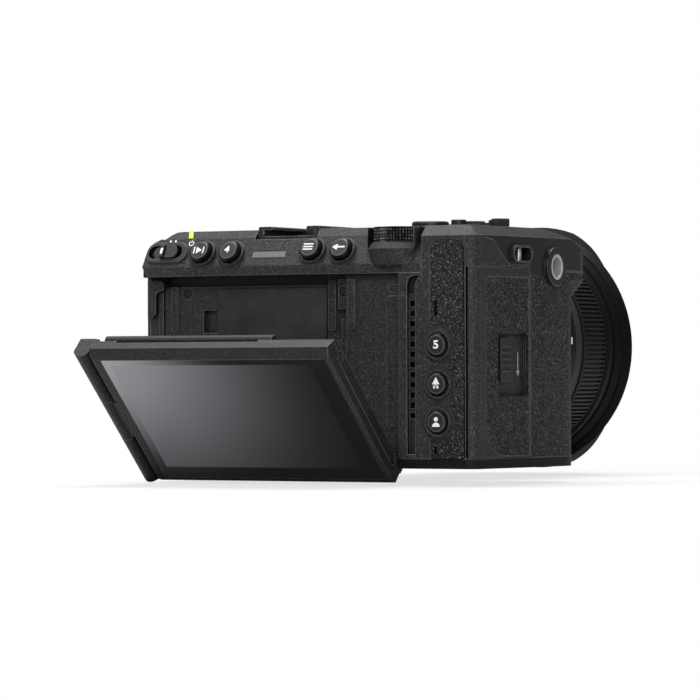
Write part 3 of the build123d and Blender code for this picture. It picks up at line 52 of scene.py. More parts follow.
# Viewpoint: a long lens looks at the camera's back from the grip's side, almost level with it.
# The distance and focal length come from the perspective of the screen's edges.
PICTURE_W, FOCAL = 700, 4050        # in pixels
SENSOR_W = 36
stand = Vector((-0.65377, 1.11705, 0.02794))
yaw, pitch, roll = radians(210), radians(-0.40), radians(-0.14)
back = Vector((sin(yaw) * cos(pitch), -cos(yaw) * cos(pitch), sin(pitch)))
bpy.ops.object.camera_add(location=stand)
viewpoint = bpy.context.object
viewpoint.rotation_mode = "QUATERNION"
aimed = (-back).to_track_quat("-Z", "Y")
viewpoint.rotation_quaternion = aimed @ Matrix.Rotation(roll, 3, "Z").to_quaternion()
viewpoint.data.sensor_width = SENSOR_W
viewpoint.data.lens = SENSOR_W * FOCAL / PICTURE_W
viewpoint.data.clip_start = 0.05
bpy.context.scene.camera = viewpoint
bpy.context.scene.view_settings.view_transform = "Standard"


# Casing: cast magnesium shells under a thick crackle paint, satin black. The grain is a quarter
# of a millimetre across, with lighter specks painted in as glints. The paint is worn smooth on
# edges, painted greyer there partly as wear and partly as painted highlight; corners and gaps are
# painted near-black as painted shade.
class Varying:
    """A value that changes over a surface, and takes part in plain sums."""

    def __init__(self, tree, socket):
        self.tree, self.socket = tree, socket

    def _sum(self, operation, first, second):
        """One Math node."""
        node = self.tree.nodes.new("ShaderNodeMath")
        node.operation = operation
        for socket, value in zip(node.inputs, (first, second)):
            if isinstance(value, Varying):
                self.tree.links.new(value.socket, socket)
            else:
                socket.default_value = value
        return Varying(self.tree, node.outputs[0])

    def __add__(self, other):
        return self._sum("ADD", self, other)

    def __radd__(self, other):
        return self._sum("ADD", other, self)

    def __sub__(self, other):
        return self._sum("SUBTRACT", self, other)

    def __rsub__(self, other):
        return self._sum("SUBTRACT", other, self)

    def __mul__(self, other):
        return self._sum("MULTIPLY", self, other)

    def __rmul__(self, other):
        return self._sum("MULTIPLY", other, self)

    def __pow__(self, other):
        return self._sum("POWER", self, other)


class Finish:
    """One surface finish being mixed."""

    def __init__(self, name):
        self.material = bpy.data.materials.new(name)
        self.material.use_nodes = True
        self.tree = self.material.node_tree
        self.tree.nodes.clear()

    def add(self, kind, settings=None, sockets=None, out=0):
        """One node: its settings first, then its sockets' values or links."""
        node = self.tree.nodes.new(kind)
        for key, value in (settings or {}).items():
            setattr(node, key, value)
        for key, value in (sockets or {}).items():
            if isinstance(value, Varying):
                self.tree.links.new(value.socket, node.inputs[key])
            else:
                node.inputs[key].default_value = value
        return Varying(self.tree, node.outputs[out]) if node.outputs else None

    def place(self):
        """Where a point of the surface is, in metres."""
        return self.add("ShaderNodeTexCoord", out=3)

    def along(self, axis):
        """One coordinate of that point."""
        parts = {"Vector": self.place()}
        return self.add("ShaderNodeSeparateXYZ", None, parts, out="XYZ".index(axis))

    def noise(self, per_metre, detail=2.0, rough=0.5):
        """Soft speckle round 0.5, with so many lumps to the metre."""
        return self.add("ShaderNodeTexNoise", None,
                        {"Vector": self.place(), "Scale": per_metre, "Detail": detail,
                         "Roughness": rough})

    def span(self, value, low, high, first=0.0, last=1.0):
        """Value from low to high, carried over to first and last and held there."""
        return self.add("ShaderNodeMapRange", {"interpolation_type": "SMOOTHSTEP"},
                        {"Value": value, "From Min": low, "From Max": high,
                         "To Min": first, "To Max": last})

    def shades(self, amount, dark, light):
        """Colour between two shades, by an amount from 0 to 1."""
        first, last = [shade if isinstance(shade, Varying) else (*shade, 1.0)
                       for shade in (dark, light)]
        return self.add("ShaderNodeMix", {"data_type": "RGBA"}, {0: amount, 6: first, 7: last},
                        out=2)

    def edges(self, radius):
        """Normal with the edges rounded over, and how much of an edge a point is on."""
        rounded = self.add("ShaderNodeBevel", {"samples": 6}, {"Radius": radius})
        plain = self.add("ShaderNodeNewGeometry", out=1)
        alike = self.add("ShaderNodeVectorMath", {"operation": "DOT_PRODUCT"},
                         {0: rounded, 1: plain}, out=1)
        return rounded, self.span(alike, 0.985, 0.82)

    def openness(self, reach):
        """1 on an open face, down to 0 in a corner or gap within reach, where the finishes paint
        shade.
        """
        found = self.add("ShaderNodeAmbientOcclusion", {"samples": 6}, {"Distance": reach}, out=1)
        return self.span(found, 0.30, 0.92)

    def relief(self, height, depth, strength=1.0, over=None):
        """Normal of a surface whose height varies, over another normal if one is given."""
        sockets = {"Height": height, "Distance": depth, "Strength": strength}
        if over is not None:
            sockets["Normal"] = over
        return self.add("ShaderNodeBump", None, sockets)

    def close(self, colour, roughness, normal=None, metallic=0.0, **fixed):
        """The shader and the output. What doesn't vary gets its number here."""
        sockets = {"Base Color": colour, "Roughness": roughness, "Metallic": metallic}
        if normal is not None:
            sockets["Normal"] = normal
        for key, value in fixed.items():
            sockets[key.replace("_", " ").title().replace("Ior", "IOR")] = value
        shader = self.add("ShaderNodeBsdfPrincipled", None, sockets)
        self.add("ShaderNodeOutputMaterial", None, {"Surface": shader})
        return self.material


def dress(material, *names):
    """Gives CAD nodes a finish."""
    for name in names:
        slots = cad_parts[name].data.materials
        slots.clear()
        slots.append(material)


# Near-black for painted shade in corners and gaps, and the dark of one finish's grain.
SHADE_AND_GRAIN_BLACK = (0.001, 0.001, 0.0011)
finish = Finish("crackle_black")
rounded, edge = finish.edges(0.00045)
grain = finish.noise(2300, 3.0, 0.65)
glint_specks = finish.span(finish.noise(1900, 2.0, 0.6), 0.57, 0.72)
patches = finish.noise(60, 3.0)
open_face = finish.openness(0.006)
tone = finish.shades(finish.span(grain, 0.36, 0.66), (0.0015, 0.0015, 0.0017),
                     (0.036, 0.036, 0.0385))
# Lighter specks: painted glints of the grain.
tone = finish.shades(glint_specks * 0.5, tone, (0.13, 0.13, 0.137))
# Edges painted greyer: partly wear, partly painted highlight.
tone = finish.shades(edge * (0.5 + 0.5 * patches), tone, (0.22, 0.22, 0.231))
# Corners and gaps painted near-black: painted shade.
tone = finish.shades(open_face, SHADE_AND_GRAIN_BLACK, tone)
crackle_paint = finish.close(tone, 0.46 + 0.16 * patches - 0.12 * edge * open_face,
                             finish.relief(grain, 0.00022, 0.9, rounded), specular_ior_level=0.24)
dress(crackle_paint, "front_shell", "rear_shell", "top_cover", "left_cover", "grip_shell",
      "card_door", "port_cover_front", "port_cover_rear")

# Base, battery door and its latch: glass-filled nylon, coloured a darker black than the casing as
# painted shade of the underside, with a fine even grain and scuffs where the camera is set down.
finish = Finish("base_black")
rounded, edge = finish.edges(0.0003)
grain = finish.noise(2600, 2.0, 0.6)
scuffs = finish.span(finish.noise(260, 4.0, 0.7), 0.56, 0.70)
# A darker black than the casing: painted shade of the underside.
tone = finish.shades(finish.span(grain, 0.32, 0.70), (0.0012, 0.0012, 0.0013),
                     (0.010, 0.010, 0.0106))
# Scuffs painted lighter as wear, and edges partly as wear and partly as painted highlight.
tone = finish.shades(edge * 0.15 + 0.12 * scuffs, tone, (0.09, 0.09, 0.0945))
base_plastic = finish.close(tone, 0.55 + 0.15 * scuffs,
                            finish.relief(grain, 0.00012, 0.8, rounded), specular_ior_level=0.12)
dress(base_plastic, "base_plate", "battery_door", "battery_latch")

# Screen case, frame, link and arm: die-cast and painted in the same black, with a finer and
# flatter grain. They slide against each other, so their edges are rubbed smooth; the edges are
# painted lighter, partly as wear and partly as painted highlight, and corners near-black as
# painted shade.
finish = Finish("fine_black")
rounded, edge = finish.edges(0.00045)
grain = finish.noise(2400, 3.0, 0.65)
patches = finish.noise(50, 3.0)
open_face = finish.openness(0.003)
tone = finish.shades(finish.span(grain, 0.36, 0.66), SHADE_AND_GRAIN_BLACK, (0.024, 0.024, 0.0257))
# Edges painted lighter: partly wear, partly painted highlight.
tone = finish.shades(edge * (0.5 + 0.5 * patches), tone, (0.20, 0.20, 0.21))
# Corners and gaps painted near-black: painted shade.
tone = finish.shades(open_face, SHADE_AND_GRAIN_BLACK, tone)
screen_paint = finish.close(tone, 0.42 + 0.14 * patches - 0.08 * edge,
                            finish.relief(grain, 0.00012, 0.8, rounded), specular_ior_level=0.24)
dress(screen_paint, "tilt_frame", "swing_arm", "screen_case", "link_plate")

# Grip covering: moulded rubber with a leather grain, three quarters of a millimetre wide and drawn
# out into slanting wrinkles. Three pieces: the grip's front, the thumb face and the card door.
SWERVE = (0.0014, 0.0014, 0.0014)       # how far the wrinkles wander
SLANT = (radians(-35.3), radians(45), 0.0)
DRAWN_OUT = (0.95, 0.95, 3.0)
finish = Finish("pebbled_rubber")
drift = finish.add("ShaderNodeTexNoise", None,
                   {"Vector": finish.place(), "Scale": 600.0, "Detail": 1.0}, out=1)
bent = finish.add("ShaderNodeVectorMath", {"operation": "MULTIPLY_ADD"},
                  {0: drift, 1: SWERVE, 2: finish.place()})
slanted = finish.add("ShaderNodeMapping", {"vector_type": "TEXTURE"},
                     {"Vector": bent, "Rotation": SLANT, "Scale": DRAWN_OUT})
creases = finish.add("ShaderNodeTexVoronoi", {"feature": "DISTANCE_TO_EDGE"},
                     {"Vector": slanted, "Scale": 1250.0})
domes = finish.span(creases, 0.02, 0.38)
pores = finish.noise(4200, 2.0)
wear_and_highlight = finish.noise(500, 3.0)
open_face = finish.openness(0.003)
# Creases painted dark and domes light: painted shade and painted highlight on the grain.
tone = finish.shades(domes, (0.0012, 0.0012, 0.0014), (0.058, 0.058, 0.0621))
# Domes lighter in patches: partly wear, partly painted highlight.
tone = finish.shades(0.5 * domes * finish.span(wear_and_highlight, 0.38, 0.64), tone, (0.110, 0.110, 0.1175))
# Gaps painted near-black: painted shade.
tone = finish.shades(open_face, SHADE_AND_GRAIN_BLACK, tone)
rubber = finish.close(tone, 0.62 - 0.18 * domes,
                      finish.relief(0.9 * domes + 0.15 * pores, 0.00050, 1.0),
                      specular_ior_level=0.24)
dress(rubber, "grip_leather", "thumb_leather", "card_door_leather")

# Shoulder of the grip: a smooth moulding in gloss black, with the strap slot and the boss
# round the side thread. It picks up fine rub marks from the strap.
finish = Finish("gloss_black")
rounded, edge = finish.edges(0.0003)
ripple = finish.noise(900, 3.0)
rub = finish.noise(120, 4.0, 0.7)
open_face = finish.openness(0.003)
tone = finish.shades(ripple, (0.005, 0.005, 0.0054), (0.016, 0.016, 0.017))
# Edges painted lighter: partly wear, partly painted highlight.
tone = finish.shades(edge * 0.6, tone, (0.16, 0.16, 0.168))
# Corners and gaps painted near-black: painted shade.
tone = finish.shades(open_face, SHADE_AND_GRAIN_BLACK, tone)
gloss = finish.close(tone, 0.26 + 0.16 * rub, finish.relief(ripple, 0.00002, 0.5, rounded),
                     specular_ior_level=0.32)
dress(gloss, "gloss_panel")

# Plate in the recess: a thin satin sheet stuck to the recess's floor, with faint rub marks
# where the folded screen's link touches it.
finish = Finish("bare_plate")
ripple = finish.noise(2600, 2.0)
rub = finish.noise(90, 3.0)
open_face = finish.openness(0.007)
tone = finish.shades(finish.span(ripple * 0.6 + rub * 0.4, 0.35, 0.65),
                     (0.008, 0.008, 0.0086), (0.034, 0.034, 0.0364))
# Near walls and corners the plate is painted near-black: painted shade.
tone = finish.shades(open_face, SHADE_AND_GRAIN_BLACK, tone)
plate = finish.close(tone, 0.48 + 0.14 * rub, finish.relief(ripple, 0.00003, 0.5),
                     specular_ior_level=0.3)
dress(plate, "recess_plate")

# Buttons, switch, levers and latch: smooth moulded plastic with a soft sheen, a little
# shinier in patches.
finish = Finish("button_black")
rounded, edge = finish.edges(0.00025)
rub = finish.noise(400, 3.0)
open_face = finish.openness(0.002)
tone = finish.shades(rub, (0.006, 0.006, 0.0064), (0.019, 0.019, 0.0202))
# Edges painted lighter: partly wear, partly painted highlight.
tone = finish.shades(edge * (0.5 + 0.3 * rub), tone, (0.15, 0.15, 0.157))
# Corners and gaps painted near-black: painted shade.
tone = finish.shades(open_face, SHADE_AND_GRAIN_BLACK, tone)
button_plastic = finish.close(tone, 0.36 + 0.14 * rub,
                              finish.relief(finish.noise(3000), 0.00004, 0.5, rounded),
                              specular_ior_level=0.3)
dress(button_plastic, "power_switch", "record_button", "top_button", "shutter_button",
      "zoom_lever", "lens_release", "card_latch")

# Round caps on the bank and the thumb face: the same plastic, with a flat crown, a thin lighter
# line round it as painted highlight, and a rim that falls away steeply, painted dark as shade.
TILT = radians(27)                      # of the bank
SLOPE = Vector((0, -sin(TILT), cos(TILT)))
AWAY = Vector((0, cos(TILT), sin(TILT)))
CREASE = Vector((0, 0.026, 0.0635))     # foot of the bank
LINE_IN, CROWN_R, LINE_OUT, RIM_R = 0.00255, 0.00285, 0.00315, 0.00345     # from its axis
BANK_CAPS = {"clips_button": (0.0311, 0.00445), "button_four": (0.0203, 0.0042),
             "menu_button": (-0.0094, 0.0047), "back_button": (-0.0203, 0.00445)}


def on_bank(x, up, out=0.0):
    """A place on the sloped bank, by its own right, up and height."""
    return CREASE + Vector((x, 0, 0)) + SLOPE * up + AWAY * out


def on_thumb(name):
    """The middle of a cap on the thumb face."""
    low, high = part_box(name)
    return Vector(((low[0] + high[0]) / 2, high[1], (low[2] + high[2]) / 2))


def crowned(name, middle, axis):
    """Gives a cap its crown, a line of painted highlight and a rim painted dark as shade, by the
    distance from its axis.
    """
    finish = Finish("cap_" + name)
    rub = finish.noise(400, 3.0)
    away = finish.add("ShaderNodeVectorMath", {"operation": "SUBTRACT"},
                      {0: finish.place(), 1: middle})
    aside = finish.add("ShaderNodeVectorMath", {"operation": "CROSS_PRODUCT"}, {0: away, 1: axis})
    out = finish.add("ShaderNodeVectorMath", {"operation": "LENGTH"}, {0: aside}, out=1)
    rim = finish.span(out, CROWN_R, RIM_R)
    highlight_line = finish.span(out, LINE_IN, CROWN_R) * finish.span(out, LINE_OUT, CROWN_R)
    tone = finish.shades(rub, (0.007, 0.007, 0.0075), (0.021, 0.021, 0.0225))
    # Thin lighter ring: painted highlight.
    tone = finish.shades(highlight_line * 0.45, tone, (0.15, 0.15, 0.157))
    # Rim painted near-black: painted shade.
    tone = finish.shades(rim * 0.9, tone, (0.0015, 0.0015, 0.0017))
    dress(finish.close(tone, 0.36 + 0.14 * rub, finish.relief(1.0 - rim, 0.0006, 1.0),
                       specular_ior_level=0.28), name)


for cap, (x, up) in BANK_CAPS.items():
    crowned(cap, on_bank(x, up), AWAY)
for cap in ("button_five", "home_button", "user_button"):
    crowned(cap, on_thumb(cap), (0, 1, 0))


# Signs on the caps: numbers and plain picture signs, pad-printed in white. Each is a film of
# ink 0.04 to 0.05 mm thick. A sign is drawn flat, thickened, then set on its cap.
INK, LIFT = 0.00004, 0.00001            # the film's thickness, and how far it lies off the face
FIGURE, BOLD = 1.42, 0.045              # letter size and stroke for a figure of height 1
CAP_TOP = 0.0029                        # above the bank
RIGHT = Vector((-1, 0, 0))
UP = Vector((0, 0, 1))
finish = Finish("white_ink")
dust = finish.noise(2500, 3.0)
white_ink = finish.close(finish.shades(dust, (0.62, 0.62, 0.62), (0.80, 0.80, 0.80)),
                         0.5 + 0.2 * dust, finish.relief(dust, 0.000005, 0.5))


def set_down(name, sign, spot, right, up, body, material=white_ink, grow=1.0):
    """Thickens a flat sign, puts it on a face with its own right and up, and makes it ride."""
    bpy.ops.object.mode_set(mode="EDIT")
    bpy.ops.mesh.select_all(action="SELECT")
    bpy.ops.mesh.extrude_region_move(TRANSFORM_OT_translate={"value": (0, 0, INK)})
    bpy.ops.mesh.select_all(action="SELECT")
    bpy.ops.mesh.normals_make_consistent(inside=False)
    bpy.ops.object.mode_set(mode="OBJECT")
    sign.name = name
    right, up = Vector(right).normalized(), Vector(up).normalized()
    out = right.cross(up)
    turn = Matrix((right, up, out)).transposed().to_4x4()
    place = Matrix.Translation(Vector(spot) + out * LIFT)
    sign.matrix_world = place @ turn @ Matrix.Scale(grow, 4)
    bpy.ops.object.transform_apply(location=True, rotation=True, scale=True)
    sign.data.materials.clear()
    sign.data.materials.append(material)
    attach(sign, body)
    bpy.ops.object.select_all(action="DESELECT")


def number(text, height, wide):
    """A printed number, drawn about its middle."""
    bpy.ops.object.text_add()
    drawn = bpy.context.object
    drawn.data.body = text
    drawn.data.size = height * FIGURE
    drawn.data.offset = height * BOLD
    drawn.data.align_x = "CENTER"
    drawn.data.align_y = "CENTER"
    bpy.ops.object.convert(target="MESH")
    bpy.ops.object.mode_set(mode="EDIT")
    bpy.ops.mesh.select_all(action="SELECT")
    bpy.ops.transform.resize(value=(wide, 1, 1))
    bpy.ops.object.mode_set(mode="OBJECT")
    return bpy.context.object


def tablet(width, height, x=0.0, y=0.0, corner=0.0):
    """A flat bar with its corners cut round."""
    bpy.ops.mesh.primitive_plane_add(size=1, location=(x, y, 0))
    bpy.ops.object.mode_set(mode="EDIT")
    bpy.ops.transform.resize(value=(width, height, 1))
    bpy.ops.mesh.bevel(offset=corner or min(width, height) * 0.2, segments=3, affect="VERTICES")
    bpy.ops.object.mode_set(mode="OBJECT")
    bpy.ops.object.transform_apply(location=True)
    return bpy.context.object


def disc(radius, x=0.0, y=0.0, corners=28, turned=0.0):
    """A flat disc, or a triangle or the like with few corners."""
    bpy.ops.mesh.primitive_circle_add(vertices=corners, radius=radius, fill_type="NGON",
                                      location=(x, y, 0), rotation=(0, 0, turned))
    bpy.ops.object.transform_apply(location=True, rotation=True)
    bpy.ops.object.mode_set(mode="EDIT")
    bpy.ops.mesh.bevel(offset=radius * 0.06, segments=2, affect="VERTICES")
    bpy.ops.object.mode_set(mode="OBJECT")
    return bpy.context.object


def together(*shapes):
    """Several flat shapes as one sign."""
    bpy.ops.object.select_all(action="DESELECT")
    for shape in shapes:
        shape.select_set(True)
    bpy.context.view_layer.objects.active = shapes[0]
    bpy.ops.object.join()
    return bpy.context.object


def trimmed(shape, below):
    """A flat shape with what is under a line taken away."""
    bpy.ops.object.mode_set(mode="EDIT")
    bpy.ops.mesh.select_all(action="SELECT")
    bpy.ops.mesh.bisect(plane_co=(0, below, 0), plane_no=(0, 1, 0), clear_inner=True,
                        use_fill=False)
    bpy.ops.object.mode_set(mode="OBJECT")
    return shape


four = number("4", 0.0021, 1.2)
set_down("sign_four", four, on_bank(0.0207, 0.0044, CAP_TOP), RIGHT, SLOPE, "button_four")
play = together(disc(0.00105, -0.0001, 0.0, 3, radians(-90)), tablet(0.0003, 0.0019, -0.00125),
                tablet(0.0003, 0.0019, 0.00135))
set_down("sign_play", play, on_bank(0.0313, 0.00445, CAP_TOP), RIGHT, SLOPE, "clips_button",
         grow=1.3)
bars = together(*[tablet(0.0030, 0.00036, 0, y) for y in (0.0008, 0.0, -0.0008)])
set_down("sign_menu", bars, on_bank(-0.0090, 0.0049, CAP_TOP), RIGHT, SLOPE, "menu_button",
         grow=1.15)
arrow = together(disc(0.00095, -0.0008, 0.0, 3, radians(90)), tablet(0.0021, 0.00042, 0.00065))
set_down("sign_back", arrow, on_bank(-0.0201, 0.0046, CAP_TOP), RIGHT, SLOPE, "back_button",
         grow=1.3)

five = number("5", 0.0025, 1.15)
set_down("sign_five", five, on_thumb("button_five"), RIGHT, UP, "button_five")
house = together(disc(0.00125, 0, 0.00055, 3), tablet(0.00052, 0.0011, -0.00048, -0.0006, 0.00004),
                 tablet(0.00052, 0.0011, 0.00048, -0.0006, 0.00004),
                 tablet(0.00148, 0.0004, 0, -0.00025, 0.00004))
set_down("sign_home", house, on_thumb("home_button"), RIGHT, UP, "home_button", grow=1.2)
person = together(disc(0.00058, 0, 0.00075), trimmed(disc(0.00115, 0, -0.00125), -0.0012))
set_down("sign_person", person, on_thumb("user_button"), RIGHT, UP, "user_button", grow=1.2)

# Power switch and its signs: a white bar on the knob's rib, two dots for its places on the
# bank's edge, the ring-and-bar sign for power, and a bright lime mark over the edge above it.
RING_R, RING_BORE, RING_GAP = 0.00100, 0.70, 0.00084    # the bore is a share of the ring
DOT_R, DOT_UP = 0.00038, 0.00945
bar = tablet(0.00085, 0.0021, corner=0.00012)
set_down("mark_switch", bar, on_bank(0.04595, 0.0050, 0.00200), RIGHT, SLOPE, "power_switch")
for mark, x in (("mark_on", 0.0448), ("mark_standby", 0.0429)):
    set_down(mark, disc(DOT_R), on_bank(x, DOT_UP), RIGHT, SLOPE, "body")
bpy.ops.mesh.primitive_circle_add(vertices=32, radius=RING_R)
ring = bpy.context.object
bpy.ops.object.mode_set(mode="EDIT")
bpy.ops.mesh.extrude_edges_move()
bpy.ops.transform.resize(value=(RING_BORE, RING_BORE, 1))
bpy.ops.mesh.select_all(action="DESELECT")
bpy.ops.object.mode_set(mode="OBJECT")
for vertex in ring.data.vertices:
    vertex.select = abs(vertex.co.x) < RING_GAP / 2 and vertex.co.y > 0
bpy.ops.object.mode_set(mode="EDIT")
bpy.ops.mesh.delete(type="VERT")
bpy.ops.object.mode_set(mode="OBJECT")
power = together(ring, tablet(0.00030, 0.00105, 0, 0.00062))
set_down("sign_power", power, on_bank(0.0367, 0.0086), RIGHT, SLOPE, "body")

finish = Finish("lime_paint")
dust = finish.noise(1800, 3.0)
lime_paint = finish.close(finish.shades(dust, (0.40, 0.56, 0.0), (0.47, 0.64, 0.003)),
                          0.42 + 0.15 * dust, finish.relief(dust, 0.000006, 0.5))
RIDGE = Vector((0, 0.0214143, 0.0725))                  # upper edge of the bank
BROW = Vector((0, -0.0022, 0.0025)).normalized()        # up the chamfer above it
LIME_W, LIME_H, LIME_SKEW = 0.00160, 0.00295, -0.00105
LIME_SPOT = RIDGE + Vector((0.0375, 0, 0)) + BROW * 0.0019
bpy.ops.mesh.primitive_plane_add(size=1)
lime = bpy.context.object
bpy.ops.object.mode_set(mode="EDIT")
bpy.ops.transform.resize(value=(LIME_W, LIME_H, 1))
bpy.ops.mesh.select_all(action="DESELECT")
bpy.ops.object.mode_set(mode="OBJECT")
for vertex in lime.data.vertices:
    vertex.select = vertex.co.y > 0
bpy.ops.object.mode_set(mode="EDIT")
bpy.ops.transform.translate(value=(LIME_SKEW, 0, 0))
bpy.ops.object.mode_set(mode="OBJECT")
set_down("mark_lime", lime, LIME_SPOT, RIGHT, BROW, "body", lime_paint)

# Tally window: smoked acrylic in the button bank, grey where it catches the light, with a dark
# frame round it, which is a dark sheet set as painted shade at the window's edge.
finish = Finish("smoked_window")
haze = finish.noise(600, 3.0)
window = finish.close(finish.shades(haze, (0.060, 0.060, 0.063), (0.095, 0.095, 0.099)),
                      0.30 + 0.12 * haze)
dress(window, "tally_window")
finish = Finish("painted_shade_frame")
dust = finish.noise(1500, 3.0)
shade_frame_black = finish.close(finish.shades(dust, (0.003, 0.003, 0.0032), (0.008, 0.008, 0.0085)),
                             0.55 + 0.2 * dust, finish.relief(dust, 0.00001, 0.5),
                             specular_ior_level=0.25)
# A dark sheet under the window whose rim shows round it: painted shade.
SHADE_FRAME_W, SHADE_FRAME_H, SHADE_FRAME_R = 0.01310, 0.00300, 0.00142
shade_frame = tablet(SHADE_FRAME_W, SHADE_FRAME_H, corner=SHADE_FRAME_R)
set_down("tally_shade_frame", shade_frame, on_bank(0.00655, 0.00400, -0.00002), RIGHT, SLOPE, "body",
         shade_frame_black)

# Dials: turned aluminium, black anodised, with a diamond knurl whose tips have rubbed bright and
# whose grooves are painted dark as shade. The control dial's edges are painted lighter, partly
# as wear and partly as painted highlight.
DIAL_X, DIAL_Y = -0.038, 0.020
KNURL_FOOT, KNURL_TIP = 0.00748, 0.00776
finish = Finish("knurled_black")
across = finish.along("X") - DIAL_X
deep = finish.along("Y") - DIAL_Y
out = (across * across + deep * deep) ** 0.5
tips = finish.span(out, KNURL_FOOT, KNURL_TIP)
rub = finish.noise(1500, 3.0)
# Foot of the knurl painted dark: painted shade in the grooves.
tone = finish.shades(tips, (0.003, 0.003, 0.0032), (0.030, 0.030, 0.032))
tone = finish.shades(tips * finish.span(rub, 0.40, 0.70), tone, (0.30, 0.30, 0.31))
dial_metal = finish.close(tone, 0.30 + 0.14 * rub, metallic=0.6)
dress(dial_metal, "rear_dial")
finish = Finish("turned_black")
rounded, edge = finish.edges(0.0002)
rub = finish.noise(2600, 3.0)
tone = finish.shades(rub, (0.010, 0.010, 0.0106), (0.028, 0.028, 0.030))
# Edges painted lighter: partly wear, partly painted highlight.
tone = finish.shades(edge * 0.5, tone, (0.25, 0.25, 0.26))
dress(finish.close(tone, 0.30 + 0.14 * rub, rounded, metallic=0.6), "control_dial")

# Bare steel: the threaded inserts, the strap bars, both halves of the mount and the hinge pin,
# with fine turning lines and a slight bloom. Edges are painted lighter, partly as wear and partly
# as painted highlight, and bores and corners are painted dark as shade.
finish = Finish("bare_steel")
rounded, edge = finish.edges(0.0002)
brushed = finish.noise(3000, 4.0, 0.6)
tone = finish.shades(brushed, (0.52, 0.51, 0.49), (0.80, 0.79, 0.77))
# Edges painted lighter: partly wear, partly painted highlight.
tone = finish.shades(edge * 0.5, tone, (0.90, 0.89, 0.87))
# Bores and corners painted dark: painted shade.
tone = finish.shades(finish.openness(0.004), (0.05, 0.05, 0.05), tone)
steel = finish.close(tone, 0.22 + 0.20 * brushed, finish.relief(brushed, 0.00002, 0.5, rounded),
                     metallic=0.7)
dress(steel, "thread_inserts", "strap_bars", "mount_ring", "lens_mount", "tilt_pin")

# Accessory shoe: a folded steel channel, screwed down through the top cover, painted black. Its
# edges are painted bright, partly as wear along the lips where accessories slide in and partly as
# painted highlight.
finish = Finish("shoe_paint")
rounded, edge = finish.edges(0.00035)
rub = finish.noise(700, 4.0, 0.65)
tone = finish.shades(rub, (0.006, 0.006, 0.0064), (0.030, 0.030, 0.032))
# Edges painted bright: partly wear, partly painted highlight.
tone = finish.shades(edge * finish.span(rub, 0.30, 0.62), tone, (0.42, 0.42, 0.43))
shoe_paint = finish.close(tone, 0.44 + 0.16 * rub, finish.relief(rub, 0.00002, 0.5, rounded),
                          specular_ior_level=0.3)
dress(shoe_paint, "accessory_shoe")

# Screws: blackened steel with a cross slot, in the recess and the base. Their edges are
# painted a little brighter, partly as wear from a driver and partly as painted highlight.
finish = Finish("blackened_steel")
rounded, edge = finish.edges(0.0002)
rub = finish.noise(4000, 2.0)
tone = finish.shades(rub, (0.010, 0.010, 0.0106), (0.045, 0.045, 0.047))
# Edges painted brighter: partly wear, partly painted highlight.
tone = finish.shades(edge * 0.6, tone, (0.20, 0.20, 0.21))
screw_steel = finish.close(tone, 0.32 + 0.12 * rub, rounded, metallic=0.8)
dress(screw_steel, "body_screws")

# Two screws in the side of the tilt frame, which hold the screen's case: small round heads
# with a cross slot, sunk in their seats.
LEAN = radians(45.4)                    # of the screen as it stands at rest
UP_SCREEN = Vector((0, sin(LEAN), cos(LEAN)))
OUT_SCREEN = Vector((0, cos(LEAN), -sin(LEAN)))
SEAT_X, SEAT_OUT, SEATS_UP = -0.0406, 0.0187, (0.0232, 0.0679)
HEAD_R, HEAD_T, RIM_IN, RIM_UP = 0.00145, 0.0006, 0.00022, 0.00012
SLOT_L, SLOT_W, SLOT_T, SLOT_Z = 0.0019, 0.00034, 0.0006, 0.0004
for count, up in enumerate(SEATS_UP):
    bpy.ops.mesh.primitive_cylinder_add(vertices=36, radius=HEAD_R, depth=HEAD_T)
    head = bpy.context.object
    bpy.ops.object.mode_set(mode="EDIT")
    bpy.ops.mesh.select_mode(type="FACE")
    bpy.ops.mesh.select_all(action="DESELECT")
    bpy.ops.object.mode_set(mode="OBJECT")
    for face in head.data.polygons:
        face.select = face.normal.z > 0.9
    bpy.ops.object.mode_set(mode="EDIT")
    bpy.ops.mesh.inset(thickness=RIM_IN, depth=RIM_UP)
    bpy.ops.object.mode_set(mode="OBJECT")
    for long_way, short_way in ((SLOT_L, SLOT_W), (SLOT_W, SLOT_L)):
        bpy.ops.mesh.primitive_cube_add(size=1)
        slot = bpy.context.object
        slot.scale = (long_way, short_way, SLOT_T)
        slot.location = (0, 0, SLOT_Z)
        bpy.ops.object.transform_apply(location=True, rotation=True, scale=True)
        cut = head.modifiers.new("slot", "BOOLEAN")
        cut.object = slot
        cut.operation = "DIFFERENCE"
        cut.solver = "EXACT"
        bpy.context.view_layer.objects.active = head
        bpy.ops.object.modifier_apply(modifier="slot")
        bpy.data.objects.remove(slot)
    bpy.ops.object.select_all(action="DESELECT")
    head.select_set(True)
    spot = Vector((SEAT_X, 0, 0)) + UP_SCREEN * up + OUT_SCREEN * SEAT_OUT
    turn = Matrix((UP_SCREEN, OUT_SCREEN, Vector((-1, 0, 0)))).transposed().to_4x4()
    head.matrix_world = Matrix.Translation(spot) @ turn
    bpy.ops.object.transform_apply(location=True, rotation=True, scale=True)
    head.name = "frame_screw_" + str(count + 1)
    head.data.materials.append(screw_steel)
    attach(head, "tilt_frame")
    bpy.ops.object.select_all(action="DESELECT")

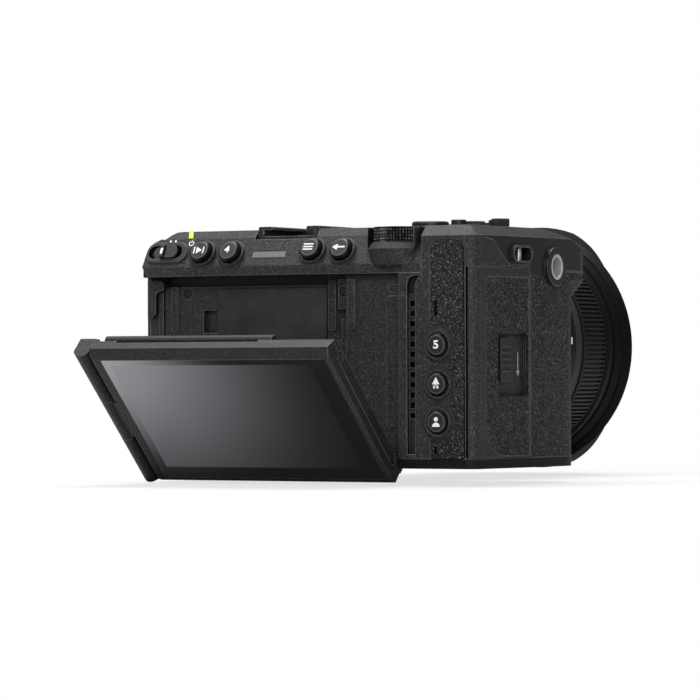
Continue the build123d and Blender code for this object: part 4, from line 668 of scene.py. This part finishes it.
# Screen: a sheet of black-backed glass with the display behind its middle. The display and the
# glass round it glow with a grey that fades from the upper left corner: a painted reflection,
# stronger on the display.
SHOWN_LEFT, SHOWN_RIGHT, SHOWN_LOW, SHOWN_HIGH = -0.0385, 0.0330, 0.0245, 0.0700
SOFT = 0.0002
finish = Finish("display_glass")
across = 0.0 - finish.along("X")
lifted = finish.along("Y") * sin(LEAN) + finish.along("Z") * cos(LEAN)
to_right = finish.span(across, -0.046, 0.044)
downwards = finish.span(lifted, 0.078, 0.012)
inside = (finish.span(across, SHOWN_LEFT - SOFT, SHOWN_LEFT + SOFT)
          * finish.span(across, SHOWN_RIGHT + SOFT, SHOWN_RIGHT - SOFT)
          * finish.span(lifted, SHOWN_LOW - SOFT, SHOWN_LOW + SOFT)
          * finish.span(lifted, SHOWN_HIGH + SOFT, SHOWN_HIGH - SOFT))
smears = finish.noise(28, 3.0)
# Glow over the display: painted reflection.
display_reflection_glow = (1.0 - to_right) ** 1.35 * (1.0 - 0.80 * downwards) * (0.90 + 0.12 * smears)
# Glow over the glass round the display: painted reflection.
border_reflection = (1.0 - finish.span(across, -0.044, 0.012)) ** 1.6 * (1.0 - downwards) ** 1.3
tone = finish.shades(inside, finish.shades(border_reflection, (0.004, 0.004, 0.0043), (0.30, 0.30, 0.315)),
                     finish.shades(display_reflection_glow, (0.0065, 0.0065, 0.007), (0.262, 0.258, 0.280)))
# The emission is painted reflection; the display is not lit.
display = finish.close((0.004, 0.004, 0.0044, 1.0), 0.06 + 0.05 * smears,
                       specular_ior_level=0.12, emission_color=tone, emission_strength=1.0)
dress(display, "screen_glass")

# Lens barrel: black anodised aluminium, with a band of smooth dark grey before the focus ring
# and a white index mark on the ring behind it. Edges are painted a little lighter, partly as wear
# and partly as painted highlight, and grooves near-black as painted shade.
BAND_REAR, BAND_FRONT, BAND_EDGE = -0.1043, -0.1094, 0.00005
INDEX_SPOT, FORWARD = (-0.03699, -0.10055, 0.0404), (0, -1, 0)
# Near-black for painted shade in the lens's grooves.
GROOVE_SHADE_BLACK = (0.0006, 0.0006, 0.0007)
finish = Finish("lens_black")
rounded, edge = finish.edges(0.0003)
here = finish.along("Y")
band = (finish.span(here, BAND_REAR + BAND_EDGE, BAND_REAR - BAND_EDGE)
        * finish.span(here, BAND_FRONT - BAND_EDGE, BAND_FRONT + BAND_EDGE))
grain = finish.noise(3600, 2.0)
tone = finish.shades(grain, (0.001, 0.001, 0.0011), (0.005, 0.005, 0.0053))
# Edges painted lighter: partly wear, partly painted highlight.
tone = finish.shades(edge * 0.4, tone, (0.06, 0.06, 0.063))
tone = finish.shades(band, tone, (0.032, 0.032, 0.034))
# Grooves painted near-black: painted shade.
tone = finish.shades(finish.openness(0.004), GROOVE_SHADE_BLACK, tone)
barrel = finish.close(tone, 0.40 + 0.12 * grain, finish.relief(grain, 0.00004, 0.5, rounded),
                      specular_ior_level=0.1)
dress(barrel, "lens_barrel")
index = tablet(0.0011, 0.0023, corner=0.0002)
set_down("mark_index", index, INDEX_SPOT, FORWARD, UP, "lens")

# Control rings of the lens: ribbed rubber bands stretched over metal rings, a little dusty
# on the ribs, and painted dark between them as shade.
finish = Finish("ring_rubber")
dust = finish.noise(900, 3.0)
tone = finish.shades(dust, (0.003, 0.003, 0.0032), (0.013, 0.013, 0.0138))
# Between the ribs painted near-black: painted shade.
tone = finish.shades(finish.openness(0.0015), GROOVE_SHADE_BLACK, tone)
ring_rubber = finish.close(tone, 0.46 + 0.15 * dust,
                           finish.relief(finish.noise(5000), 0.00003, 0.4),
                           specular_ior_level=0.2)
dress(ring_rubber, "aperture_ring", "zoom_ring", "focus_ring")

# Lens hood: moulded in matt black plastic with a fine grain, bayoneted to the front of the
# lens, with its edges painted a little lighter, partly as wear and partly as painted highlight.
finish = Finish("hood_black")
rounded, edge = finish.edges(0.0003)
grain = finish.noise(3000, 2.0)
tone = finish.shades(grain, (0.0012, 0.0012, 0.0013), (0.0045, 0.0045, 0.0048))
# Edges painted lighter: partly wear, partly painted highlight.
tone = finish.shades(edge * 0.25, tone, (0.03, 0.03, 0.0315))
hood_plastic = finish.close(tone, 0.50 + 0.12 * grain, finish.relief(grain, 0.00004, 0.5, rounded),
                            specular_ior_level=0.08)
dress(hood_plastic, "lens_hood")

# Lens elements: polished glass in a dark barrel, with a green and violet tint in the coating.
# Front and rear share one finish.
finish = Finish("coated_glass")
tint = finish.noise(20, 1.0)
lens_glass = finish.close(finish.shades(tint, (0.006, 0.010, 0.016), (0.016, 0.006, 0.020)),
                          0.03 + 0.02 * tint, coat_weight=1.0, ior=1.7)
dress(lens_glass, "lens_glass")

# Insides, hidden by the casing: the cast chassis and heat sink, the boards, and the plain
# mouldings of the fan, the card cage, the battery and the sockets.
finish = Finish("cast_metal")
cast = finish.noise(800, 3.0)
cast_metal = finish.close(finish.shades(cast, (0.32, 0.32, 0.33), (0.50, 0.50, 0.52)),
                          0.4 + 0.15 * cast, finish.relief(cast, 0.00003, 0.5), metallic=0.9)
dress(cast_metal, "chassis", "heat_sink")
finish = Finish("circuit_board")
tracks = finish.noise(300, 2.0)
board = finish.close(finish.shades(tracks, (0.01, 0.07, 0.03), (0.02, 0.14, 0.06)),
                     0.35 + 0.1 * tracks)
dress(board, "main_board", "image_sensor")
finish = Finish("inner_plastic")
grain = finish.noise(2000, 2.0)
inner_plastic = finish.close(finish.shades(grain, (0.02, 0.02, 0.0212), (0.05, 0.05, 0.053)),
                             0.5 + 0.1 * grain)
dress(inner_plastic, "fan_housing", "fan_rotor", "card_cage", "battery", "port_sockets")

# Sign in the card door's recess: a thin arrow printed in grey ink, which shows the way in
# which the latch slides.
finish = Finish("grey_ink")
dust = finish.noise(2500, 3.0)
grey_ink = finish.close(finish.shades(dust, (0.26, 0.26, 0.265), (0.36, 0.36, 0.365)),
                        0.5 + 0.2 * dust)
SIDE_START = Vector((-0.0678, 0.026, 0))        # rear end of the grip's side face
SIDE_FORWARD = Vector((-0.0847, -0.9964, 0)).normalized()
SIDE_OUT = Vector((-0.9964, 0.0847, 0)).normalized()
AHEAD, SUNK, RAISED = 0.0272, 0.0017, 0.0324
way = together(tablet(0.00042, 0.0060, 0, 0.0005, 0.00005),
               disc(0.0011, 0, -0.0028, 3, radians(180)))
spot = SIDE_START + SIDE_FORWARD * AHEAD - SIDE_OUT * SUNK + UP * RAISED
set_down("sign_slide", way, spot, SIDE_FORWARD, UP, "card_door", grey_ink)

# Studio: a pale floor just under the lowest point, which fades into white away from the
# object, with white all round.
FLOOR_R, FLOOR_DROP = 3.0, 0.0004
FADE_FROM, FADE_TO, FADE_LEAST = 0.16, 0.42, 0.72
finish = Finish("pale_floor")
paint = finish.add("ShaderNodeBsdfDiffuse", None, {"Color": (0.50, 0.50, 0.50, 1.0)})
seen = finish.add("ShaderNodeLightPath", out=0)
away_x, away_y = finish.along("X"), finish.along("Y")
reach = (away_x * away_x + away_y * away_y) ** 0.5
fade = finish.span(reach, FADE_FROM, FADE_TO, FADE_LEAST, 1.0)
glow = finish.add("ShaderNodeEmission", None, {"Color": (1, 1, 1, 1), "Strength": 1.0})
mixed = finish.add("ShaderNodeMixShader", None, {0: seen * fade, 1: paint, 2: glow})
finish.add("ShaderNodeOutputMaterial", None, {"Surface": mixed})
bpy.ops.mesh.primitive_circle_add(vertices=96, radius=FLOOR_R, fill_type="NGON",
                                  location=(0, 0, cad_low.z - FLOOR_DROP))
floor = bpy.context.object
floor.name = "studio_floor"
floor.data.materials.append(finish.material)

# The world is white to the camera, and a dim even grey to the object. Metal and glass see
# part of the white.
DIM, WHITE_SHARE = 0.10, 0.15
sky = bpy.data.worlds.new("studio")
bpy.context.scene.world = sky
sky.use_nodes = True
tree = sky.node_tree
tree.nodes.clear()
path = tree.nodes.new("ShaderNodeLightPath")
lit = tree.nodes.new("ShaderNodeBackground")
lit.inputs["Strength"].default_value = DIM
shown = tree.nodes.new("ShaderNodeBackground")
shown.inputs["Color"].default_value = (1, 1, 1, 1)
shown.inputs["Strength"].default_value = 1.0
mirrored = Varying(tree, path.outputs["Is Glossy Ray"])
glossy = mirrored + Varying(tree, path.outputs["Is Transmission Ray"])
share = Varying(tree, path.outputs["Is Camera Ray"]) + WHITE_SHARE * glossy
choice = tree.nodes.new("ShaderNodeMixShader")
end = tree.nodes.new("ShaderNodeOutputWorld")
tree.links.new(share.socket, choice.inputs[0])
tree.links.new(lit.outputs[0], choice.inputs[1])
tree.links.new(shown.outputs[0], choice.inputs[2])
tree.links.new(choice.outputs[0], end.inputs["Surface"])


# Lamps: a broad soft one above and behind, one high on the left of the picture, and a low one
# on the right that lights the grip's side.
def softbox(name, where, towards, width, height, watts):
    """A rectangular lamp that faces a point near the object."""
    bpy.ops.object.light_add(type="AREA", location=where)
    lamp = bpy.context.object
    lamp.name = name
    lamp.data.shape = "RECTANGLE"
    lamp.data.size, lamp.data.size_y = width, height
    lamp.data.energy = watts
    lamp.rotation_mode = "QUATERNION"
    lamp.rotation_quaternion = (Vector(towards) - Vector(where)).to_track_quat("-Z", "Y")


softbox("top_lamp", (0.10, -0.10, 0.85), (0, 0.0, 0.05), 0.8, 0.45, 15.5)
softbox("right_lamp", (-0.42, 0.58, 0.30), (-0.07, 0.0, 0.04), 0.25, 0.35, 3.6)
softbox("left_lamp", (0.50, 0.70, 0.75), (0.02, 0.03, 0.04), 0.45, 0.45, 3.2)
